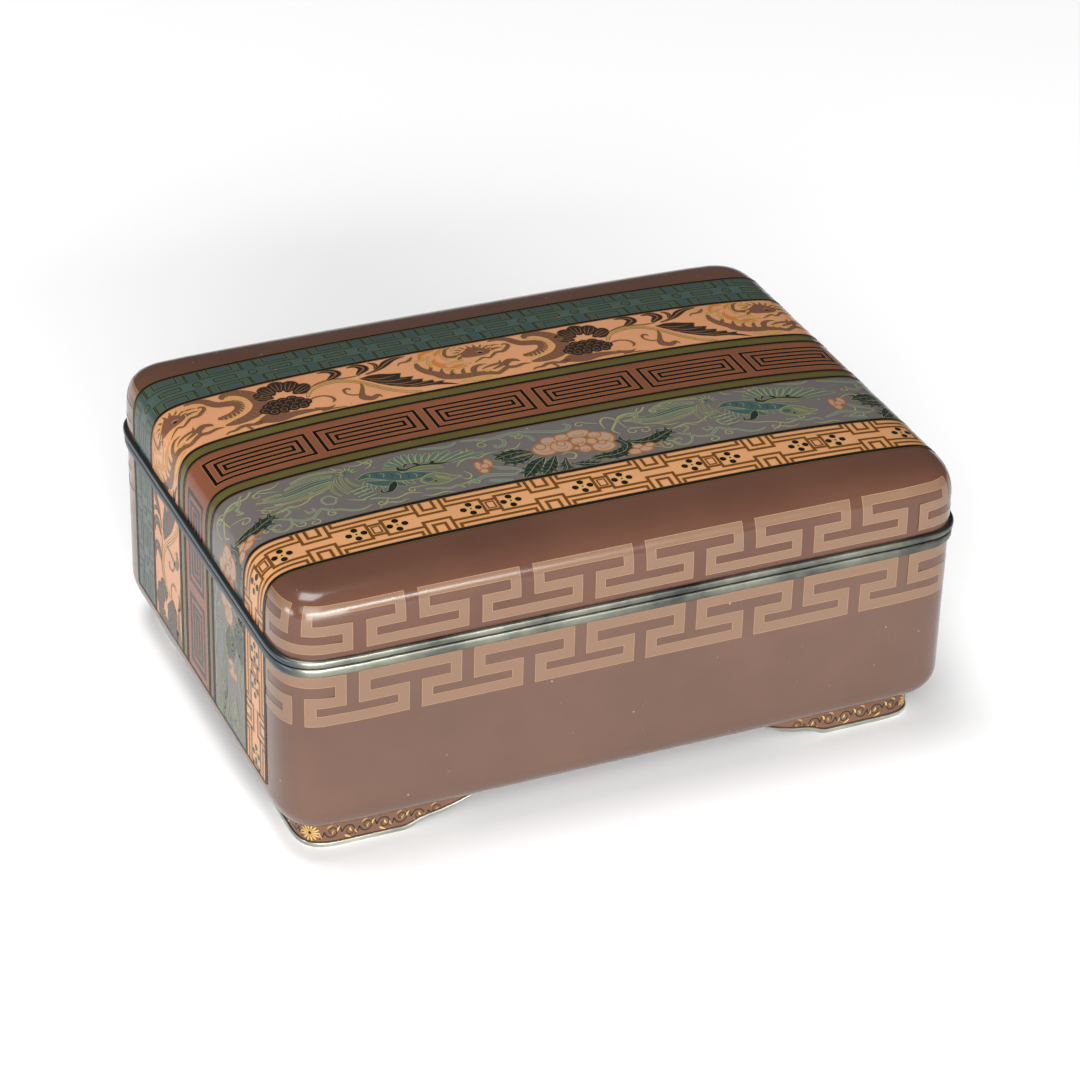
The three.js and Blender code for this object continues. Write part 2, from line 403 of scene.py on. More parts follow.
def lay(name, bm, chart, across, up, materials, mirrored=False):
    """Lays a flat drawing on the box. Its height in the drawing is how far it stands over the skin."""
    bmesh.ops.triangulate(bm, faces=[f for f in bm.faces if len(f.verts) > 4], ngon_method="EAR_CLIP")
    score(bm, 0, across)
    score(bm, 1, up)
    mesh = mesh_of(name, bm)
    flat = np.empty(len(mesh.vertices) * 3)
    mesh.vertices.foreach_get("co", flat)
    u, v, lift = flat.reshape(-1, 3).T
    inset = SKIN - lift
    placed = chart(u, v, inset)
    step = 0.02
    along = chart(u + step, v, inset) - chart(u - step, v, inset)
    over = chart(u, v + step, inset) - chart(u, v - step, inset)
    facing = np.cross(along, over) * (-1 if mirrored else 1)
    facing /= np.maximum(np.linalg.norm(facing, axis=1, keepdims=True), 1e-12)
    mesh.vertices.foreach_set("co", (placed * MM).ravel())
    if mirrored:
        mesh.flip_normals()
    mesh.update()
    mesh.normals_split_custom_set_from_vertices(facing.tolist())
    finish_piece(name, mesh, materials)


def lay_band(name, bm, materials):
    """Lays a drawing over the lid and down both ends, open where the silver rims pass."""
    low, high = RIM_GAP
    score(bm, 0, [low, high, -low, -high])
    clear_faces(bm, lambda middle: low < abs(middle.x) < high)
    lay(name, bm, over_the_box, OVER_SCORES, CROSS_SCORES, materials)


def trim_to_band(bm, band):
    """Cuts a drawing off just inside a band's edges and ends."""
    margin = 0.2
    low, high = BANDS[band]
    trim(bm, 0, -BAND_END + margin, BAND_END - margin)
    trim(bm, 1, low + margin, high - margin)


# ------------------------------------------------------------------ colours and finishes


def linear(red, green, blue, share=1.0):
    """A paint colour given as it is seen, 0 to 255, as the shader wants it."""
    seen = [c / 255 for c in (red, green, blue)]
    return tuple(share * (c / 12.92 if c <= 0.04045 else ((c + 0.055) / 1.055) ** 2.4) for c in seen) + (1.0,)


ENAMEL_SHARE = 0.68  # enamel colours are given as seen on the lid, under this much more light than its share
SPECK_COLOUR = (205, 185, 150)


def enamel_colour(red, green, blue):
    return linear(red, green, blue, ENAMEL_SHARE)


def feed(socket, value):
    """Links a socket to another one, or sets it to a plain value."""
    if isinstance(value, bpy.types.NodeSocket):
        socket.id_data.links.new(value, socket)
    else:
        socket.default_value = value


def fill(node, **inputs):
    """Feeds a node's inputs by name, an underscore standing for each space."""
    for key, value in inputs.items():
        feed(node.inputs[key.replace("_", " ")], value)
    return node


def add(tree, kind, **inputs):
    return fill(tree.nodes.new(kind), **inputs)


def noise(tree, place, scale, detail, rough=0.5):
    node = add(tree, "ShaderNodeTexNoise", Vector=place, Scale=scale, Detail=detail, Roughness=rough)
    return node.outputs["Fac"]


def spread(tree, source, low, high, to_low, to_high):
    """Turns the stretch from low to high into another one."""
    node = add(tree, "ShaderNodeMapRange", Value=source, From_Min=low, From_Max=high)
    return fill(node, To_Min=to_low, To_Max=to_high).outputs["Result"]


def maths(tree, operation, *values):
    node = tree.nodes.new("ShaderNodeMath")
    node.operation = operation
    for socket, value in zip(node.inputs, values):
        feed(socket, value)
    return node.outputs[0]


def mixed(tree, share, first, second, blend="MIX"):
    """One colour turned into another by a share."""
    node = tree.nodes.new("ShaderNodeMix")
    node.data_type, node.blend_type = "RGBA", blend
    for index, value in ((0, share), (6, first), (7, second)):
        feed(node.inputs[index], value)
    return node.outputs[2]


def object_place(tree):
    return tree.nodes.new("ShaderNodeTexCoord").outputs["Object"]


def fired_enamel_group():
    """Fired and polished enamel: soft clouds of colour, fine grit, pits, pale specks and a faint ripple."""
    group = bpy.data.node_groups.new("fired_enamel", "ShaderNodeTree")
    colour, number = "NodeSocketColor", "NodeSocketFloat"
    taken = {"Colour": colour, "Deep colour": colour, "Speck colour": colour}
    taken |= {"Specks": number, "Gloss": number}
    returned = {"Colour": colour, "Roughness": number, "Height": number}
    for way, sockets in (("INPUT", taken), ("OUTPUT", returned)):
        for name, kind in sockets.items():
            group.interface.new_socket(name=name, in_out=way, socket_type=kind)
    given = group.nodes.new("NodeGroupInput").outputs
    place = object_place(group)

    clouds = spread(group, noise(group, place, 45, 3, 0.55), 0.35, 0.7, 0.0, 0.75)
    grit = spread(group, noise(group, place, 2200, 2, 0.6), 0.5, 0.72, 0.0, 0.35)
    body = mixed(group, maths(group, "MAXIMUM", clouds, grit), given["Colour"], given["Deep colour"])

    # Some cells hold a pale speck and some a pit, whose colour is darkened as painted shade in its hollow.
    cells = add(group, "ShaderNodeTexVoronoi", Vector=place, Scale=520.0, Randomness=1.0)
    near = spread(group, cells.outputs["Distance"], 0.05, 0.11, 1.0, 0.0)
    chosen = add(group, "ShaderNodeSeparateColor", Color=cells.outputs["Color"])
    pale = maths(group, "MULTIPLY", near, maths(group, "LESS_THAN", chosen.outputs[0], given["Specks"]))
    pits = maths(group, "MULTIPLY", near, maths(group, "GREATER_THAN", chosen.outputs[1], 0.93))
    speckled = mixed(group, maths(group, "MULTIPLY", pale, 0.7), body, given["Speck colour"])
    # Painted shade: the pits' colour is multiplied darker.
    pit_shaded_colour = mixed(group, pits, speckled, (0.3, 0.28, 0.26, 1), "MULTIPLY")

    worn = spread(group, noise(group, place, 240, 4, 0.65), 0.4, 0.75, 0.0, 0.09)
    glossy = maths(group, "ADD", given["Gloss"], worn)
    rough = maths(group, "ADD", glossy, maths(group, "MULTIPLY", pits, 0.3))
    ripple = maths(group, "MULTIPLY", noise(group, place, 110, 2, 0.5), 0.7)
    raised = maths(group, "ADD", ripple, maths(group, "MULTIPLY", grit, 0.08))
    height = maths(group, "SUBTRACT", raised, maths(group, "MULTIPLY", pits, 0.5))
    add(group, "NodeGroupOutput", Colour=pit_shaded_colour, Roughness=rough, Height=height)
    return group


FIRED_ENAMEL = fired_enamel_group()


def new_material(name):
    """A material with its tree and its shader."""
    material = bpy.data.materials.new(name)
    material.use_nodes = True
    return material, material.node_tree, material.node_tree.nodes["Principled BSDF"]


def enamel(name, colour, deep=None, specks=0.05, gloss=0.16, ior=1.25):
    """Enamel of one colour. It clouds towards its deep colour, and without one it keeps its colour crisp."""
    material, tree, shader = new_material(name)
    base = enamel_colour(*colour)
    fired = tree.nodes.new("ShaderNodeGroup")
    fired.node_tree = FIRED_ENAMEL
    fill(fired, Colour=base, Deep_colour=enamel_colour(*(deep or colour)), Specks=specks, Gloss=gloss)
    fill(fired, Speck_colour=enamel_colour(*SPECK_COLOUR))
    bump = add(tree, "ShaderNodeBump", Strength=0.25, Distance=0.00012, Height=fired.outputs["Height"])
    fill(shader, Base_Color=fired.outputs["Colour"] if deep else base, Roughness=fired.outputs["Roughness"])
    fill(shader, Normal=bump.outputs["Normal"], IOR=ior)
    # A glassier enamel also has more of a polished coat.
    fill(shader, Coat_Weight=0.4 * (ior - 1.15), Coat_Roughness=0.12)
    return material


def aged_silver(name, bright, dull, rough, ends_painted_reflection=None):
    """Silver with fine rubbing marks along it and dull patches, painted darker across the box's ends if
    asked, as a painted dark reflection.
    """
    material, tree, shader = new_material(name)
    place = object_place(tree)
    ramp = add(tree, "ShaderNodeValToRGB", Fac=noise(tree, place, 60, 4, 0.6))
    for element, position, colour in zip(ramp.color_ramp.elements, (0.38, 0.68), (bright, dull)):
        element.position, element.color = position, linear(*colour)
    colour = ramp.outputs["Color"]
    if ends_painted_reflection:
        # Painted reflection: across both ends the silver turns to a dark colour, standing in for the dark
        # surroundings the rims reflect there.
        away = maths(tree, "ABSOLUTE", add(tree, "ShaderNodeSeparateXYZ", Vector=place).outputs["X"])
        painted_reflection_share = spread(tree, away, (HALF_LENGTH - 4.5) * MM, (HALF_LENGTH - 0.8) * MM, 0.0, 1.0)
        colour = mixed(tree, painted_reflection_share, colour, linear(*ends_painted_reflection))
    stretched = add(tree, "ShaderNodeMapping", Vector=place, Scale=(0.12, 0.12, 3.0))
    marks = noise(tree, stretched.outputs["Vector"], 900, 3, 0.7)
    bump = add(tree, "ShaderNodeBump", Strength=0.3, Distance=0.00005, Height=marks)
    fill(shader, Base_Color=colour, Metallic=1.0, Normal=bump.outputs["Normal"])
    fill(shader, Roughness=spread(tree, marks, 0.0, 1.0, rough - 0.08, rough + 0.2))
    return material


def wire_metal(name, colour, metallic, rough=0.35):
    """Flat cloisonne wire, ground level with the enamel and toned dark or golden."""
    material, tree, shader = new_material(name)
    worn = noise(tree, object_place(tree), 1400, 2)
    fill(shader, Base_Color=linear(*colour), Metallic=metallic, IOR=1.25)
    fill(shader, Roughness=spread(tree, worn, 0.0, 1.0, rough - 0.1, rough + 0.15))
    fill(shader, Coat_Weight=0.05, Coat_Roughness=0.1)
    return material


brown_enamel = enamel("brown_enamel", (99, 67, 53), (88, 58, 46), specks=0.045, ior=1.42)
foot_enamel = enamel("foot_enamel", (124, 90, 74), (104, 74, 60), specks=0.05)
# The tray's enamel is the lid's brown enamel painted lighter: painted light for the brighter light falling on
# the tray's front wall.
tray_enamel_painted_lighter = enamel("tray_enamel_painted_lighter", (104, 77, 64), (93, 68, 56), specks=0.04, gloss=0.2, ior=1.4)
lining_enamel = enamel("lining_enamel", (88, 62, 52), (62, 44, 38), specks=0.16, gloss=0.26)
under_enamel = enamel("under_enamel", (92, 64, 53), (70, 49, 41), specks=0.12, gloss=0.3)
# The rims' ends are painted dark, a painted reflection of dark surroundings.
silver = aged_silver("silver", (138, 139, 127), (70, 73, 70), rough=0.33, ends_painted_reflection=(70, 78, 84))
foot_silver = aged_silver("foot_silver", (204, 206, 194), (142, 146, 136), rough=0.3)
dark_wire = wire_metal("dark_wire", (14, 11, 9), metallic=0.0, rough=0.4)
gold_wire = wire_metal("gold_wire", (120, 96, 56), metallic=0.3)


# ------------------------------------------------------------------ the box itself


def bent_sheet(bm, points):
    """A grid bent so that its rows and columns pass through the given points, in millimetres."""
    points = np.asarray(points, float) * MM
    rows, columns = points.shape[0] - 1, points.shape[1] - 1
    sheet = bmesh.ops.create_grid(bm, x_segments=columns, y_segments=rows, size=1)["verts"]
    for vert in sheet:
        i, j = round((vert.co.x + 1) / 2 * columns), round((vert.co.y + 1) / 2 * rows)
        vert.co = points[j][i]


def shell_mesh(name, bm, sharp=40):
    """Joins the sheets' edges, points the faces outwards and keeps edges past so many degrees sharp."""
    bmesh.ops.remove_doubles(bm, verts=bm.verts[:], dist=2e-6)
    bmesh.ops.dissolve_degenerate(bm, edges=bm.edges[:], dist=1e-7)
    bmesh.ops.recalc_face_normals(bm, faces=bm.faces[:])
    for face in bm.faces:
        face.smooth = True
    mesh = mesh_of(name, bm)
    mesh.set_sharp_from_angle(angle=math.radians(sharp))
    return mesh


def line_inside(mesh, middle):
    """Gives the faces that look into the box the lining's slot, and the flat underside its own."""
    for face in mesh.polygons:
        (x, y, z), (nx, ny, nz) = face.center / MM, face.normal
        if nx * x + ny * y + nz * (z - middle) < 0:
            face.material_index = 1
        elif nz < -0.9 and z < FOOT_HEIGHT + 0.5:
            face.material_index = 2


def plan_stations():
    """All round the plan, anticlockwise from the middle of the front: core points and directions."""
    runs = [p for p in PLAN_SCORES if p >= 0] + [float(PLAN_RUN[-1])]
    quarter = []
    for line in (PLAN_CORE, PLAN_WAY):
        quarter.append(np.stack([np.interp(runs, PLAN_RUN, line[:, i]) for i in (0, 1)], axis=1))
    half = [np.vstack([a, (a * (1, -1))[::-1][1:]]) for a in quarter]
    return [np.vstack([a, (a * (-1, 1))[::-1][1:]]) for a in half]


STATION_CORE, STATION_WAY = plan_stations()


def ring(offset, height):
    """A row of points round the plan at an offset from the outline."""
    points = STATION_CORE + STATION_WAY * (CORNER_REACH + offset)
    return np.column_stack([points, np.full(len(points), float(height))])


def lid_row(out, rise, inset):
    """A row round the lid where its section has come to these shares of its reach and its rise."""
    points = STATION_CORE + STATION_WAY * (CORNER_REACH - inset) * out
    z = SEAM + (LID_RISE - inset) * rise + crown(points[:, 0], points[:, 1])
    return np.column_stack([points, np.maximum(z, LID_BOTTOM)])


def lid_rows(inset, stride):
    """The lid's rounding, from the edge of its top down to its rim."""
    shares = [(0.0, 1.0)]
    for run in [p for p in OVER_SCORES if p >= CORE_X - 0.5][::stride]:
        rise = float(np.interp(run, SECTION_RUN, SECTION_RISE))
        out = float(np.interp(run, SECTION_RUN, SECTION_OUT))
        if out > 1e-4 and SEAM + (LID_RISE - inset) * rise > LID_BOTTOM + 0.2:
            shares.append((out, rise))
    rise = (LID_BOTTOM - SEAM) / (LID_RISE - inset)
    shares.append(((1 - rise**LID_EDGE_POWER) ** (1 / LID_EDGE_POWER), rise))
    rows = [lid_row(out, rise, inset) for out, rise in shares]
    rows[-1][:, 2] = LID_BOTTOM
    return rows


def build_lid():
    bm = bmesh.new()
    bent_sheet(bm, np.array(lid_rows(SKIN, 1) + lid_rows(WALL, 2)[::-1]))
    # The top, outside and inside, as far as the rounding starts.
    xs, ys = (sorted(set(np.round(STATION_CORE[:, i], 6))) for i in (0, 1))
    x, y = np.meshgrid(xs, ys)
    for inset in (SKIN, WALL):
        bent_sheet(bm, np.stack([x, y, SEAM + LID_RISE - inset + crown(x, y)], axis=2))
    mesh = shell_mesh("lid", bm, sharp=35)
    line_inside(mesh, SEAM)
    finish_piece("lid", mesh, [brown_enamel, lining_enamel], ["lid_shell"])


def tray_rows(inset, steps):
    """The tray's lower rounding, from its flat bottom up to its wall."""
    made = []
    for i in range(steps + 1):
        angle, reach = i / steps * math.pi / 2, BOTTOM_ROUND - inset
        height = FOOT_HEIGHT + BOTTOM_ROUND - reach * math.cos(angle)
        made.append(ring(-(BOTTOM_ROUND - reach * math.sin(angle)), height))
    return made


def build_tray():
    bm = bmesh.new()
    outside, inside = tray_rows(SKIN, 14), tray_rows(WALL, 8)
    top = [ring(-SKIN, TRAY_TOP), ring(-WALL, TRAY_TOP)]
    bent_sheet(bm, np.array(outside + top + inside[::-1]))
    for floor in (outside[0], inside[0]):
        # From the start of the rounding inwards to one point in the middle.
        shrink = np.linspace(1, 0, 6)[:, None, None]
        middle = np.array([0, 0, floor[0][2]])
        bent_sheet(bm, middle + (floor[None] - middle) * shrink)
    mesh = shell_mesh("tray", bm, sharp=35)
    line_inside(mesh, TRAY_TOP)
    finish_piece("tray", mesh, [tray_enamel_painted_lighter, lining_enamel, under_enamel], ["body_shell"])


def build_rim(name, section, replaced):
    """A silver band carried round the plan, its section given as offsets and heights."""
    bm = bmesh.new()
    rows = [ring(offset, z) for offset, z in section]
    bent_sheet(bm, np.array(rows + rows[:1]))
    finish_piece(name, shell_mesh(name, bm), [silver], [replaced])


def half_round(proud, low, high):
    """A bead's outside from its lower edge to its upper one."""
    steps, power = 8, 2.6
    made = []
    for i in range(steps + 1):
        angle = i / steps * math.pi
        out = abs(math.sin(angle)) ** (2 / power) * proud
        up = math.copysign(abs(math.cos(angle)) ** (2 / power), -math.cos(angle))
        made.append((out, (low + high) / 2 + up * (high - low) / 2))
    return made


LIP_OUT, LIP_IN, LIP_TOP = -WALL - 0.3, -WALL - 1.1, SEAM + 3
TRAY_RIM = half_round(0.5, TRAY_TOP, SEAM - 0.1) + [
    (-0.5, SEAM - 0.02),
    (LIP_OUT, SEAM),
    (LIP_OUT, LIP_TOP - 0.3),
    (LIP_OUT - 0.12, LIP_TOP - 0.08),
    (LIP_OUT - 0.3, LIP_TOP),
    (LIP_IN, LIP_TOP),
    (LIP_IN, TRAY_TOP),
    (-WALL, TRAY_TOP),
]
LID_RIM = half_round(0.7, SEAM + 0.08, LID_BOTTOM)
LID_RIM = [(-WALL, SEAM), (-0.5, SEAM + 0.02)] + LID_RIM + [(-WALL, LID_BOTTOM)]

build_lid()
build_tray()
build_rim("tray_rim", TRAY_RIM, "body_rim")
build_rim("lid_rim", LID_RIM, "lid_rim")


# ------------------------------------------------------------------ feet


def foot_stations():
    """Along a foot, from the tip of its long arm round the corner: core points, directions, lower contour."""
    shares = np.concatenate([np.linspace(1, 0.6, 25), np.linspace(0.58, 0.28, 5)])
    low = np.interp(shares, FOOT_CONTOUR[:, 0], FOOT_CONTOUR[:, 1])
    xs, ys = HALF_LENGTH - FOOT_INSET - shares * FRONT_ARM, HALF_WIDTH - FOOT_INSET - shares * SIDE_ARM
    made = [((x, CORE_Y), (0, 1), z) for x, z in zip(xs, low) if x < CORE_X]
    steps = 18
    for i in range(steps + 1):
        out, forward = squircle(i / steps * math.pi / 2, CORNER_POWER)
        made.append(((CORE_X, CORE_Y), (float(forward), float(out)), 0.0))
    side = [((CORE_X, y), (1, 0), z) for y, z in zip(ys, low) if y < CORE_Y]
    return made + side[::-1]


FOOT_STATIONS = foot_stations()


def join_height(low):
    """Where a foot's panel meets its silver edge, over a given height of the lower contour."""
    return low + FOOT_EDGE * (1 - (low / FOOT_HEIGHT) ** 2 * 0.7)


def foot_strip(name, section_of, side_x, side_y, material, slot, replaced):
    """A bar carried along the foot, its section given by the lower contour there, with shut ends."""
    bm = bmesh.new()
    rows = []
    for (x, y), (dx, dy), low in FOOT_STATIONS:
        section = section_of(low)
        reaches = [(CORNER_REACH + off, z) for off, z in section + section[:1]]
        rows.append([(side_x * (x + dx * reach), side_y * (y + dy * reach), z) for reach, z in reaches])
    bent_sheet(bm, np.array(rows))
    bmesh.ops.remove_doubles(bm, verts=bm.verts[:], dist=2e-6)
    bmesh.ops.holes_fill(bm, edges=[e for e in bm.edges if e.is_boundary], sides=0)
    finish_piece(name, shell_mesh(name, bm), [material], [replaced])


FOOT_OUT, FOOT_BACK = -FOOT_INSET, -FOOT_INSET - FOOT_THICKNESS


def panel_section(low):
    join, out = join_height(low), FOOT_OUT - SKIN
    return [(out, join), (out, FOOT_HEIGHT), (FOOT_BACK, FOOT_HEIGHT), (FOOT_BACK, join)]


def edge_section(low):
    join, soft = join_height(low), 0.12
    out, back = FOOT_OUT + FOOT_EDGE_PROUD, FOOT_BACK - FOOT_EDGE_PROUD
    bead = [(out - soft, low), (out - soft * 0.3, low + soft * 0.3), (out, low + soft)]
    bead += [(out, join - soft), (out - soft * 0.3, join - soft * 0.3), (out - soft, join)]
    return bead + [(back, join), (back, low)]


FEET = [("front_left", -1, -1), ("front_right", 1, -1), ("back_right", 1, 1), ("back_left", -1, 1)]
for place, *sides in FEET:
    foot_strip(f"foot_{place}_panel", panel_section, *sides, foot_enamel, "brown_enamel", f"foot_{place}")
    foot_strip(f"foot_{place}_rim", edge_section, *sides, foot_silver, "silver", f"foot_edge_{place}")


# ------------------------------------------------------------------ grounds and wires of the bands


def lay_ground(name, bands, colour, deep, specks):
    bm = bmesh.new()
    for band in bands:
        patch(bm, rectangle(-BAND_END, BAND_END, *BANDS[band]), GROUND)
    lay_band(name, bm, [enamel(name, colour, deep, specks)])


lay_ground("teal_ground", ["teal"], (73, 91, 84), (65, 83, 78), 0.06)
lay_ground("peach_ground", ["peach"], (214, 152, 110), (198, 138, 98), 0.03)
lay_ground("olive_ground", ["olive_front", "olive_back"], (98, 88, 46), (82, 76, 40), 0.09)
lay_ground("rust_ground", ["rust"], (134, 80, 56), (116, 70, 50), 0.05)
lay_ground("mauve_ground", ["mauve"], (108, 100, 99), (98, 95, 90), 0.06)
lay_ground("flower_ground", ["flower"], (212, 154, 108), (194, 140, 96), 0.03)


def lay_band_wires():
    """A golden wire with dark edges between the bands, and a thin dark one across their ends."""
    wide, narrow, across = 1.02, 0.8, 0.3
    bm = bmesh.new()
    edges = sorted({edge for limits in BANDS.values() for edge in limits})
    for edge in edges:
        ribbon(bm, [(-BAND_END, edge), (BAND_END, edge)], wide, WIRE - LAYER, 1)
        ribbon(bm, [(-BAND_END, edge), (BAND_END, edge)], narrow, WIRE, 0)
    for end in (-BAND_END, BAND_END):
        ribbon(bm, [(end, edges[0]), (end, edges[-1])], across, WIRE, 0)
    lay_band("band_wires", bm, [dark_wire, gold_wire])


lay_band_wires()


# ------------------------------------------------------------------ teal fret

TEAL_STEP = 11.66
TEAL_MIDDLE = sum(BANDS["teal"]) / 2
TEAL_HALF = 5.6  # half of the band's width
SLATE, MOSS_GREEN, MOSS_LINE, DEEP_LINE = range(4)


def teal_line(bm, path, low, closed=False):
    """A moss line with a dark one along its middle."""
    edged(bm, path, (0.5, 0.32), low, (MOSS_LINE, DEEP_LINE), closed)


def draw_teal_half(bm):
    """The upper half of a column."""
    half, low = 1.25, 1.5
    patch(bm, rectangle(-half, half, low, TEAL_HALF), level(0), SLATE)
    for x in (-half, half):
        teal_line(bm, [(x, TEAL_HALF), (x, low + 0.3)], 1)


def draw_teal_bracket(bm):
    """Between two columns: an outer green bracket round a small blue field."""
    outer, inner = (4.2, 1.9), (2.45, 2.95)
    for step, ((half, low), slot) in enumerate(((outer, MOSS_GREEN), (inner, SLATE))):
        patch(bm, rectangle(-half, half, low, TEAL_HALF), level(step), slot)
    for half, low in (outer, inner):
        teal_line(bm, [(-half, TEAL_HALF), (-half, low), (half, low), (half, TEAL_HALF)], 2)


def draw_teal_middle(bm):
    """A small green bar on the middle line, between two columns."""
    outline = rectangle(-2.3, 2.3, -0.7, 0.7)
    patch(bm, outline, level(0), MOSS_GREEN)
    teal_line(bm, outline, 1, closed=True)


def draw_teal_circle(bm):
    """A small green disc on the middle line, at a column."""
    spot(bm, 0, 0, 0.9, level(1), MOSS_GREEN, 16)
    teal_line(bm, oval(0, 0, 0.92, 0.92, 16), 2, closed=True)


def lay_teal_fret():
    bm = bmesh.new()
    columns = [i * TEAL_STEP for i in range(-10, 11)]
    gaps = [(i + 0.5) * TEAL_STEP for i in range(-10, 10)]
    half, bracket = tile_of(draw_teal_half), tile_of(draw_teal_bracket)
    for flip in (False, True):
        stamp(bm, half, [(x, TEAL_MIDDLE) for x in columns], flip)
        stamp(bm, bracket, [(x, TEAL_MIDDLE) for x in gaps], flip)
    stamp(bm, tile_of(draw_teal_middle), [(x, TEAL_MIDDLE) for x in gaps])
    stamp(bm, tile_of(draw_teal_circle), [(x, TEAL_MIDDLE) for x in columns])
    trim(bm, 0, -BAND_END, BAND_END)
    materials = [
        enamel("slate_enamel", (62, 80, 78)),
        enamel("moss_enamel", (66, 82, 72)),
        wire_metal("moss_wire", (84, 92, 66), metallic=0.1),
        enamel("deep_line_enamel", (38, 44, 36)),
    ]
    lay_band("teal_fret", bm, materials)


lay_teal_fret()


# ------------------------------------------------------------------ rust fret

RUST_STEP, RUST_START = 22.85, -11.1
# The frets on the ends are shorter, so that one ends short of the lower edge: middle, half of its length.
END_FRETS = ((82.8, 9.9), (103.7, 7.45))
END_LINE = 0.88


def draw_rust_fret(bm, long=10.25, line=0.68):
    """Three dark rectangles, one inside the other, each with a bronze edge."""
    for shorter, low, high in ((0, -3.6, 4.2), (1.9, -1.95, 2.6), (3.3, -0.45, 1.1)):
        half = long - shorter
        edged(bm, rectangle(-half, half, low, high), (0.98, line), 0, (1, 0), closed=True)


def lay_rust_fret():
    bm = bmesh.new()
    stamp(bm, tile_of(draw_rust_fret), [(RUST_START + i * RUST_STEP, 0) for i in range(-2, 4)])
    for middle, long in END_FRETS:
        stamp(bm, tile_of(lambda tile: draw_rust_fret(tile, long, END_LINE)), [(-middle, 0), (middle, 0)])
    materials = [
        enamel("black_brown_enamel", (16, 12, 10)),
        wire_metal("bronze_wire", (134, 88, 56), metallic=0.1),
    ]
    lay_band("rust_fret", bm, materials)


lay_rust_fret()


# ------------------------------------------------------------------ flower fret

FLOWER_STEP, FLOWER_START = 22.8, -0.1
FLOWER_MIDDLE = sum(BANDS["flower"]) / 2
FLOWER_HALF = (BANDS["flower"][1] - BANDS["flower"][0]) / 2
UMBER, PALE_GOLD, YELLOW_GOLD, FLOWER_BLACK = range(4)


def draw_flower(bm, x, y):
    """Four black petals edged in gold, round a small ring."""
    for dx, dy in ((1.5, 0), (-1.5, 0), (0, 1.35), (0, -1.35)):
        spot(bm, x + dx, y + dy, 0.78, level(1), YELLOW_GOLD)
        spot(bm, x + dx, y + dy, 0.68, level(2), FLOWER_BLACK)
    ribbon(bm, oval(x, y, 0.48, 0.48, 12), 0.2, level(3), YELLOW_GOLD, closed=True)
    spot(bm, x, y, 0.2, level(3), FLOWER_BLACK, 8)


def draw_flower_repeat(bm):
    """One repeat of the flower band, centred on its small square."""
    end = 11.4  # half of a repeat
    lines = []
    for side in (-1, 1):
        # The square's posts with the panel's long sides, a shallow bracket, and half of each deep bracket.
        for up in (-1, 1):
            edge = up * FLOWER_HALF
            lines.append([(side * 1.55, 0), (side * 1.55, up * 2.4), (side * 8.6, up * 2.4)])
            lines.append([(side * 7.55, edge), (side * 7.55, up * 3.75), (0, up * 3.75)])
            lines.append([(side * 8.7, edge), (side * 8.7, up * 1.15), (side * end, up * 1.15)])
            lines.append([(side * 10.2, edge), (side * 10.2, up * 2.5), (side * end, up * 2.5)])
    for up in (-1, 1):
        lines.append([(-1.55, up * 1.65), (1.55, up * 1.65)])
    for step, (width, slot) in enumerate(((0.94, PALE_GOLD), (0.66, UMBER))):
        for line in lines:
            ribbon(bm, line, width, level(step), slot)
    ribbon(bm, rectangle(-0.78, 0.78, -1.0, 1.0), 0.36, level(1), UMBER, closed=True)
    for side in (-1, 1):
        draw_flower(bm, side * 4.05, 0)


def lay_flower_fret():
    bm = bmesh.new()
    places = [(FLOWER_START + i * FLOWER_STEP, FLOWER_MIDDLE) for i in range(-5, 6)]
    stamp(bm, tile_of(draw_flower_repeat), places)
    trim(bm, 0, -BAND_END, BAND_END)
    materials = [
        enamel("umber_enamel", (104, 66, 38)),
        wire_metal("pale_gold_wire", (180, 128, 70), metallic=0.1),
        wire_metal("yellow_gold_wire", (196, 156, 84), metallic=0.3),
        enamel("black_enamel", (26, 20, 18)),
    ]
    lay_band("flower_fret", bm, materials)


lay_flower_fret()


# ------------------------------------------------------------------ dragon and peony band

